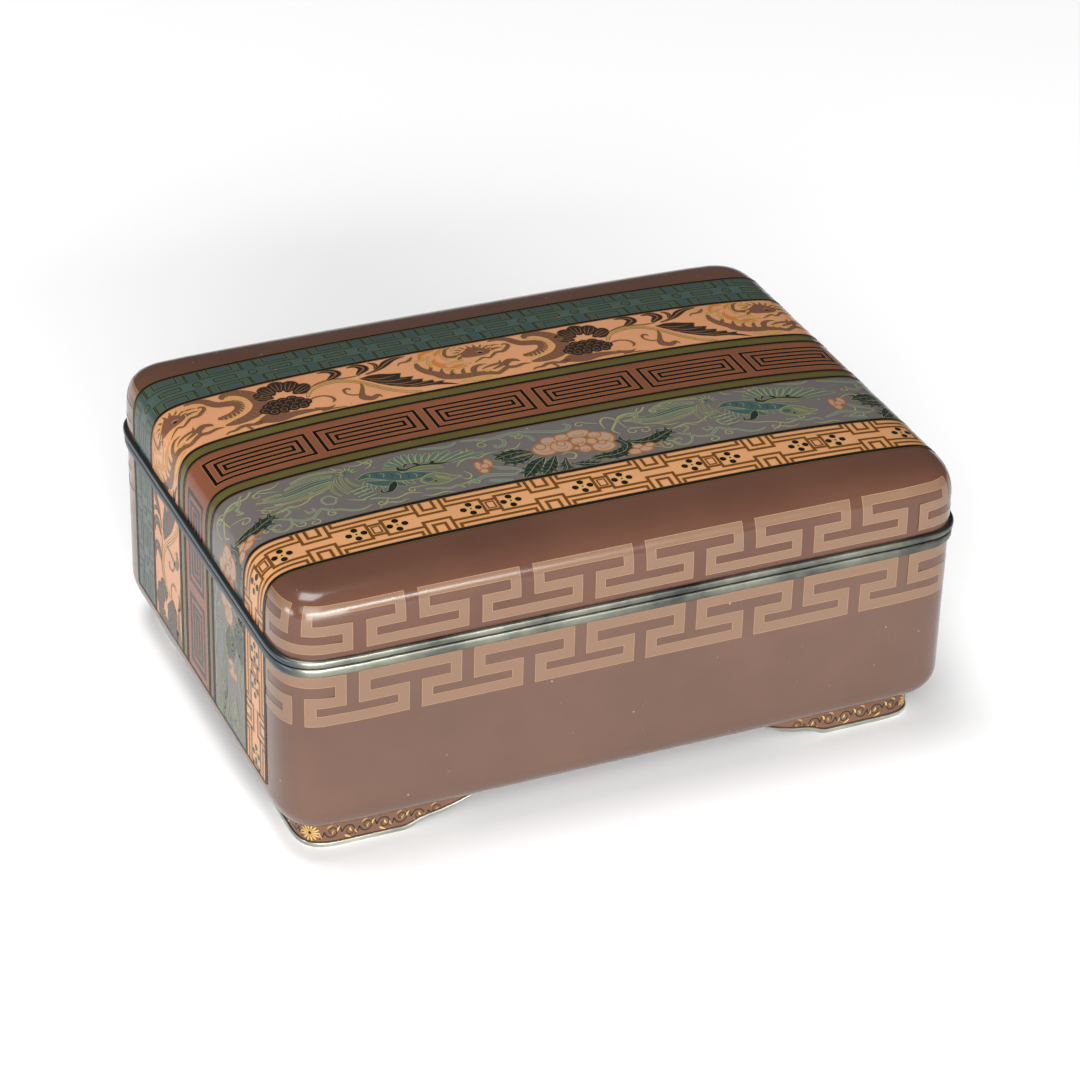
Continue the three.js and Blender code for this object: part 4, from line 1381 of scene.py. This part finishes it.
# Leaves are spine points with widths.
PHOENIX_LEAVES = [
    [(-8.6, -18.9, 0.4), (-11.0, -18.2, 1.2), (-13.6, -18.4, 1.4), (-16.6, -19.2, 0.15)],
    [(-8.8, -20.0, 0.4), (-11.0, -20.8, 1.1), (-13.2, -20.9, 1.1), (-15.4, -19.9, 0.15)],
    [(-7.2, -21.8, 0.5), (-9.2, -23.2, 1.5), (-11.2, -25.2, 1.6), (-13.4, -27.2, 0.15)],
    [(-5.0, -22.0, 0.4), (-6.4, -24.0, 1.3), (-7.8, -25.8, 1.3), (-9.6, -27.3, 0.15)],
    [(-3.4, -23.6, 0.3), (-4.0, -25.0, 0.9), (-4.2, -26.4, 0.7), (-4.9, -27.3, 0.15)],
    [(-2.6, -25.6, 0.3), (-0.8, -26.2, 0.9), (0.8, -26.8, 0.6), (2.2, -27.3, 0.15)],
    [(0.8, -25.2, 0.2), (3.6, -25.0, 1.0), (6.4, -25.2, 1.5), (8.8, -24.4, 1.5), (9.9, -22.6, 1.1),
     (9.1, -20.4, 0.3)],
    [(10.6, -21.6, 0.3), (12.8, -22.6, 1.2), (15.4, -22.8, 1.7), (17.8, -21.7, 1.6), (20.8, -20.2, 0.15)],
]
GOLD_TENDRILS = [
    [(8.3, -15.8, 0.2), (8.5, -13.2, 0.4), (9.8, -11.8, 0.4), (11.2, -12.5, 0.4), (11.5, -13.9, 0.4),
     (10.3, -15.5, 0.5), (9.5, -17.0, 0.4), (10.4, -18.5, 0.2)],
    [(11.5, -13.6, 0.3), (13.0, -12.3, 0.5), (15.0, -11.9, 0.5), (17.4, -12.1, 0.4), (19.0, -10.5, 0.4)],
    [(15.3, -12.3, 0.2), (15.6, -13.5, 0.4), (14.4, -14.3, 0.2)],
    [(-3.4, -21.8, 0.2), (-2.0, -21.4, 0.3), (-0.8, -22.4, 0.4), (-1.6, -23.8, 0.4), (-3.0, -23.4, 0.2)],
]


def barbed_leaf(bm, spine):
    """A leaf with pointed barbs along both sides and pale veins."""
    spine = [(x, y, width * 1.75) for x, y, width in spine]
    stroke(bm, spine, level(0), LINE, grow=0.28)
    stroke(bm, spine, level(1), DEEP)
    line = smooth(spine, 8)
    for i in range(2, len(line) - 3, 5):
        x, y, width = line[i]
        dx, dy = heading(line[i], line[i + 1])
        for side in (-1, 1):
            reach = 0.5 * width + 0.7
            tip = (x - side * dy * reach + dx * 1.7, y + side * dx * reach + dy * 1.7)
            root = [(x - dx * 1.0, y - dy * 1.0), (x + dx * 0.9, y + dy * 0.9)]
            patch(bm, [*root, tip], level(1.4 + 0.1 * side), DEEP)
            vein = [(x, y, 0.06), ((x + tip[0]) / 2, (y + tip[1]) / 2, 0.09), (*tip, 0.04)]
            stroke(bm, vein, level(2), MOSS, steps=2)
    stroke(bm, [(x, y, 0.1) for x, y, width in spine], level(2), LINE, steps=4)


def draw_petals(bm, petals):
    """Rose petals with amber edges, each a little over the one before."""
    for x, y, wide, tall in petals:
        patch(bm, oval(x, y, wide + 0.2, tall + 0.2, 16), level(1), ORANGE_LINE)
    for step, (x, y, wide, tall) in enumerate(petals):
        low = 1.5 + 0.25 * step
        patch(bm, oval(x, y, wide + 0.1, tall + 0.1, 16), level(low), ORANGE_LINE)
        patch(bm, oval(x, y, wide - 0.2, tall - 0.2, 16), level(low + 0.12), ROSE)
        if min(wide, tall) > 1.1:
            # A darker fold inside the petal, open at its top.
            angles = np.linspace(3.4, 6.0, 7)
            fold = [(x + wide * 0.5 * math.cos(a), y + tall * 0.5 * math.sin(a), 0.2) for a in angles]
            stroke(bm, fold, level(low + 0.2), ORANGE_LINE, steps=3)


def draw_tail(bm):
    """Long tail feathers with a dark quill and fine pale barbs."""
    for points, slot in TAIL_FEATHERS:
        stroke(bm, points, level(0), LINE, grow=0.3)
        stroke(bm, points, level(1), slot)
        stroke(bm, [(x, y, 0.14) for x, y, width in points], level(2), LINE)
        line = smooth(points, 6)
        for i in range(3, len(line) - 3, 2):
            x, y, width = line[i]
            for side in (1, -1):
                barb = [(x, y, 0.08), (x + 0.35, y + side * width * 0.45, 0.05)]
                stroke(bm, barb, level(2), MOSS, steps=1)


def draw_head_and_neck(bm):
    """The bird's head with its crest of rays, the plumes under it and the waves down its neck."""
    x, y = -44.0, -12.9
    for points in NECK_PLUMES:
        stroke(bm, points, level(1), LINE, grow=0.2)
        stroke(bm, points, level(2), MOSS)
    for i in range(17):
        angle = math.radians(-30 + i * 15)
        reach = 2.3 if i % 2 else 1.7
        root = (x + 0.7 * math.cos(angle), y + 0.6 * math.sin(angle))
        tip = (x + reach * math.cos(angle + 0.15), y + reach * math.sin(angle + 0.15))
        stroke(bm, [(*root, 0.4), (*tip, 0.08)], level(3), LINE if i % 2 else MOSS, steps=1)
    spot(bm, x, y, 0.85, level(3.5), SKY)
    spot(bm, x - 0.3, y + 0.1, 0.2, level(4), DEEP, 8)
    for i in range(9):
        at = -18.4 - i * 0.55
        wave = [(-46.2 + 0.25 * i, at - 0.6, 0.2), (-44.4 + 0.2 * i, at - 0.25, 0.3)]
        wave.append((-42.2 + 0.12 * i, at + 0.15, 0.2))
        stroke(bm, wave, level(2), LINE if i % 2 else SKY, steps=4)


def draw_body(bm):
    """The bird's body with the feathers of its flank and rows of scales."""
    outlined(bm, FLANK_FEATHERS, 0, SKY, LINE, grow=0.3, high=0.5)
    outlined(bm, BIRD_BODY, 1, TEAL, LINE, grow=0.3, high=2)
    line = smooth(BIRD_BODY[0], 6)
    for i in range(4, len(line) - 8, 3):
        x, y, width = line[i]
        scale = [(x - 0.1, y + width * 0.34, 0.06), (x + 0.4, y, 0.14), (x - 0.1, y - width * 0.34, 0.06)]
        stroke(bm, scale, level(3), LINE if i % 2 else DEEP, steps=4)


def between(root, tip, share):
    return root[0] * (1 - share) + tip[0] * share, root[1] * (1 - share) + tip[1] * share


def draw_wing(bm):
    """Feathers spread from the wing's root to its tips, with a mossy band over their roots and dark curls."""
    for tip, root in zip(WING_TIPS, WING_ROOTS):
        x, y = between(root, tip, 0.45)
        feather = [(*root, 0.5), (x, y + 0.15, 0.85), (*between(root, tip, 0.8), 0.8), (*tip, 0.3)]
        stroke(bm, feather, level(1), LINE, grow=0.34, steps=4)
        stroke(bm, feather, level(2), SKY, steps=4)
        stroke(bm, [(x, y, 0.12) for x, y, width in feather], level(3), MOSS, steps=3)
    stroke(bm, WING_BAND, level(2.5), LINE, grow=0.24)
    stroke(bm, WING_BAND, level(3), MOSS)
    for points in DARK_CURLS:
        stroke(bm, points, level(3.5), LINE, grow=0.2)
        stroke(bm, points, level(4), DEEP)


def draw_second_head(bm):
    """The second bird's head, under the wing, with a short fringe."""
    head = smooth([(*p, 0) for p in SECOND_HEAD], 3, closed=True)[:, :2]
    patch(bm, head, level(2.5), MOSS)
    ribbon(bm, head, 0.2, level(3), LINE, closed=True)
    spot(bm, -29.5, -22.3, 0.3, level(4), DEEP, 8)
    patch(bm, oval(-30.6, -21.2, 0.9, 0.7), level(3), TEAL)
    for i in range(7):
        x, y = -28.9 + 0.35 * i, -20.2 - 0.25 * i
        stroke(bm, [(x, y, 0.16), (x + 0.3, y - 1.4, 0.08)], level(3), LINE, steps=1)


def draw_phoenix(bm):
    draw_tail(bm)
    draw_head_and_neck(bm)
    draw_body(bm)
    draw_wing(bm)
    draw_second_head(bm)
    outlined(bm, PALE_RIBBONS, 0, PALE, LINE, grow=0.22)
    draw_petals(bm, BUD_PETALS)


def draw_phoenix_peony(bm):
    for spine in PHOENIX_LEAVES:
        barbed_leaf(bm, spine)
    for points in GOLD_TENDRILS:
        stroke(bm, points, level(0), LINE)
    draw_petals(bm, PEONY_PETALS)
    draw_petals(bm, SMALL_PETALS)
    stroke(bm, [(14.6, -24.4, 0.6), (16.0, -24.1, 0.5), (17.2, -23.3, 0.15)], level(2), ORANGE_LINE)
    outlined(bm, PEONY_RIBBONS, 0, PALE, LINE, grow=0.22)


def draw_scrolls(bm):
    for points in SCROLLS + WISPS:
        stroke(bm, points, level(0), LINE)
    for points in SCROLLS:
        stroke(bm, points, level(1), PALE, grow=-0.26)
    for x, y, wide, way, start in CLOUD_CURLS:
        curl = []
        for i in range(9):
            angle, size = start + way * 0.75 * i, wide * (1 - 0.09 * i)
            curl.append((x + size * math.cos(angle), y + 0.8 * size * math.sin(angle), 0.26))
        (x, y, _), (next_x, next_y, _) = curl[:2]
        tail = [(x + (x - next_x) * k, y + (y - next_y) * k * 0.5, w) for k, w in ((4.2, 0.08), (2.2, 0.22))]
        stroke(bm, tail + curl, level(0), LINE, steps=4)


def lay_phoenix_scene():
    bm = bmesh.new()
    step = PHOENIX_STEP
    stamp(bm, tile_of(draw_phoenix), [(0, 0), (step, 0.6), (-step - 4, 0), (2 * step, 0)])
    stamp(bm, tile_of(draw_phoenix_peony), [(0, 0), (-step - 5.5, 0), (step + 1, 0)])
    stamp(bm, tile_of(draw_scrolls), [(0, 0), (step + 6, 0), (-step + 1, 0), (2 * step, 0)])
    trim_to_band(bm, "mauve")
    materials = [
        wire_metal("green_gold_wire", (126, 126, 88), metallic=0.1),
        enamel("teal_blue_enamel", (64, 86, 84)),
        enamel("sky_slate_enamel", (84, 101, 96)),
        enamel("deep_green_enamel", (34, 46, 44)),
        enamel("rose_enamel", (168, 140, 118)),
        enamel("amber_enamel", (158, 100, 56)),
        enamel("pale_sea_enamel", (106, 122, 110)),
        enamel("moss_gold_enamel", (106, 110, 82)),
    ]
    lay_band("phoenix_scene", bm, materials)


lay_phoenix_scene()


# ------------------------------------------------------------------ scrolls on the feet

FLOWER_GOLD, VINE_GREEN, LEAF_GOLD, LINE_BLACK = range(4)
VINE_MIDDLE = 3.0
CURL_STEP = 3.5
CORNER_RUN = float(FOOT_RUN[int(np.argmin(np.abs(FOOT_WAY[:, 0] + FOOT_WAY[:, 1])))])


def foot_join(s):
    """How high a foot's panel starts at this run round its outside."""
    front = (HALF_LENGTH - FOOT_INSET - s) / FRONT_ARM
    side = (HALF_WIDTH - FOOT_INSET - (FOOT_RUN[-1] - s)) / SIDE_ARM
    low = np.maximum(*(np.interp(share, FOOT_CONTOUR[:, 0], FOOT_CONTOUR[:, 1]) for share in (front, side)))
    return join_height(low)


def draw_chrysanthemum(bm):
    """Two rings of petals, the inner one turned by half a petal."""
    rings = ((14, 2.0, 0.36, FLOWER_GOLD), (12, 1.15, 0.24, LEAF_GOLD))
    for row, (count, length, wide, slot) in enumerate(rings):
        for i in range(count):
            angle = (i + 0.5 * row) / count * 2 * math.pi
            dx, dy = math.cos(angle) * length, math.sin(angle) * length * 0.9
            petal = [(0.2 * dx, 0.2 * dy, 0.16), (0.7 * dx, 0.7 * dy, wide), (dx, dy, 0.2)]
            stroke(bm, petal, level(2 + row), slot, steps=2)
    spot(bm, 0, 0, 0.34, level(4), VINE_GREEN, 10)


def draw_curl(bm, x, side, up, leaf_slot):
    """One curl of the vine, the link to it, and three leaves."""
    curl = []
    for k in range(9):
        angle, size = math.pi * (1 - 0.31 * k), 1.5 * (1 - 0.095 * k)
        curl.append((size * math.cos(angle), size * math.sin(angle) - 0.25, 0.28 - 0.018 * k))
    link = [(-2.5, 1.4, 0.14), (-1.8, 0.7, 0.26), (-1.5, -0.25, 0.28)]
    leaves = []
    for dx, dy, end_x, end_y in ((-1.0, -1.0, 0.3, -1.8), (-2.4, 0.1, -1.9, 1.2), (0.1, 0.4, 0.5, -0.5)):
        leaves.append([(dx, dy, 0.1), ((dx + end_x) / 2 - 0.15, (dy + end_y) / 2, 0.4), (end_x, end_y, 0.08)])
    for step, slot, strokes in ((1, VINE_GREEN, [curl, link]), (2, leaf_slot, leaves)):
        for points in strokes:
            stroke(bm, [(x + side * dx, up * dy, w) for dx, dy, w in points], level(step), slot, steps=3)


def draw_foot(bm):
    """A chrysanthemum on the corner with a vine running out along both arms, a curl to each bend."""
    draw_chrysanthemum(bm)
    for side, reach in ((-1, 30.5), (1, 23.5)):
        for i in range(int((reach - 2.6) / CURL_STEP)):
            up, leaf_slot = (1, FLOWER_GOLD) if i % 2 else (-1, LEAF_GOLD)
            draw_curl(bm, side * (4.3 + i * CURL_STEP), side, up, leaf_slot)


def lay_foot_scrolls():
    materials = [
        wire_metal("flower_gold_wire", (176, 146, 86), metallic=0.1),
        enamel("vine_enamel", (46, 50, 42)),
        wire_metal("leaf_gold_wire", (150, 118, 70), metallic=0.1),
        enamel("contour_black_enamel", (26, 22, 20)),
    ]
    runs = np.arange(CORNER_RUN - 32.5, CORNER_RUN + 25.2, 0.5)
    contour = [(s, foot_join(s) + 0.16) for s in runs if foot_join(s) < FOOT_HEIGHT - 0.5]
    for place, side_x, side_y in FEET:
        bm = bmesh.new()
        stamp(bm, tile_of(draw_foot), [(CORNER_RUN, VINE_MIDDLE)])
        trim(bm, 1, 0.4, FOOT_HEIGHT - 0.05)
        clear_faces(bm, lambda middle: middle.y < foot_join(middle.x) + 0.3)
        ribbon(bm, contour, 0.14, level(1), LINE_BLACK)
        chart = on_a_foot(side_x, side_y)
        lay(f"foot_{place}_scrolls", bm, chart, PLAN_SCORES, [], materials, mirrored=side_x * side_y > 0)


lay_foot_scrolls()


# ------------------------------------------------------------------ key fret on the front and back

KEY_STEP = 22.75
KEY_STOP = 38.6  # the fret turns the corners and stops on the ends, this far from their middle
KEY_END = float(np.interp(KEY_STOP, -PLAN_OUTLINE[::-1, 1], PLAN_RUN[::-1]))


def draw_key_fret(bm, start, top, middle, bottom, width):
    """One ribbon that runs on round the box: bar, hook, bar, hook."""
    turns = [(1.05, top), (19.15, top), (19.15, middle), (13.45, middle)]
    turns += [(13.45, bottom), (31.55, bottom), (31.55, middle), (23.8, middle)]
    path = [(start + i * KEY_STEP + x, y) for i in range(-5, 6) for x, y in turns]
    edged(bm, path, (width + 0.22, width), 0, (1, 0))


def lay_key_frets():
    """The same fret on the tray and on the lid, on the front and on the back."""
    materials = [
        enamel("tan_enamel", (130, 101, 81), ior=1.42),
        wire_metal("soft_gold_wire", (138, 106, 80), metallic=0.0),
    ]
    for chart, side in ((round_the_wall, "front"), (round_the_back, "back")):
        bm = bmesh.new()
        draw_key_fret(bm, start=-10.4, top=-3.35, middle=-7.85, bottom=-11.8, width=2.0)
        draw_key_fret(bm, start=-21.4, top=11.6, middle=7.6, bottom=3.8, width=1.8)
        trim(bm, 0, -KEY_END, KEY_END)
        lay(f"key_fret_{side}", bm, chart, PLAN_SCORES, RISE_SCORES, materials)


lay_key_frets()


# ------------------------------------------------------------------ studio


def build_camera():
    """A long lens on a line back from its aim, rolled a little about that line."""
    azimuth, elevation, roll = -0.42006, 0.5232, 0.02694
    distance, aim = 0.70616, Vector((0, 0, SEAM * MM))
    camera = bpy.data.cameras.new("camera")
    camera.lens, camera.sensor_width = 118.583, 36.0
    camera.shift_x, camera.shift_y = 0.0083, -0.06
    camera.clip_start, camera.clip_end = 0.05, 20.0
    flat = math.cos(elevation)
    back = Vector((math.sin(azimuth) * flat, -math.cos(azimuth) * flat, math.sin(elevation)))
    right = Vector((-back.y, back.x, 0)).normalized()
    over = back.cross(right)
    turned = right * math.cos(roll) + over * math.sin(roll)
    tall = over * math.cos(roll) - right * math.sin(roll)
    holder = link_object("camera", camera)
    facing = Matrix((turned, tall, back)).transposed().to_4x4()
    holder.matrix_world = Matrix.Translation(aim + back * distance) @ facing
    bpy.context.scene.camera = holder


def soft_light(name, place, width, height, power):
    """A broad lamp that looks at the box."""
    lamp = bpy.data.lights.new(name, "AREA")
    lamp.shape, lamp.size, lamp.size_y, lamp.energy = "RECTANGLE", width, height, power
    way = Vector((0, 0, 0.03)) - Vector(place)
    holder = link_object(name, lamp)
    holder.matrix_world = Matrix.Translation(place) @ way.to_track_quat("-Z", "Y").to_matrix().to_4x4()


def build_studio():
    """A pale paper floor, soft light from the front and over the back, and a little light all round."""
    bm = bmesh.new()
    bmesh.ops.create_grid(bm, x_segments=1, y_segments=1, size=4.0)
    floor = link_object("studio_floor", mesh_of("studio_floor", bm))
    paper, _, shader = new_material("studio_paper")
    fill(shader, Base_Color=(0.8, 0.8, 0.8, 1), Roughness=0.9, Specular_IOR_Level=0.1)
    floor.data.materials.append(paper)
    world = bpy.data.worlds.new("studio_air")
    world.use_nodes = True
    fill(world.node_tree.nodes["Background"], Color=(1, 1, 1, 1), Strength=0.1)
    bpy.context.scene.world = world
    soft_light("key_light", (-0.95, -1.35, 1.2), 1.6, 1.0, 23)
    soft_light("front_light", (-0.45, -1.8, 0.3), 1.6, 0.5, 26)
    soft_light("front_strip", (-0.3, -1.8, 0.66), 2.0, 0.24, 42)
    soft_light("over_light", (-0.3, 0.3, 2.0), 0.9, 0.9, 28)
    soft_light("left_light", (-1.8, 0.0, 0.3), 0.8, 0.4, 13)
    bpy.context.scene.view_settings.view_transform = "Standard"


build_camera()
build_studio()
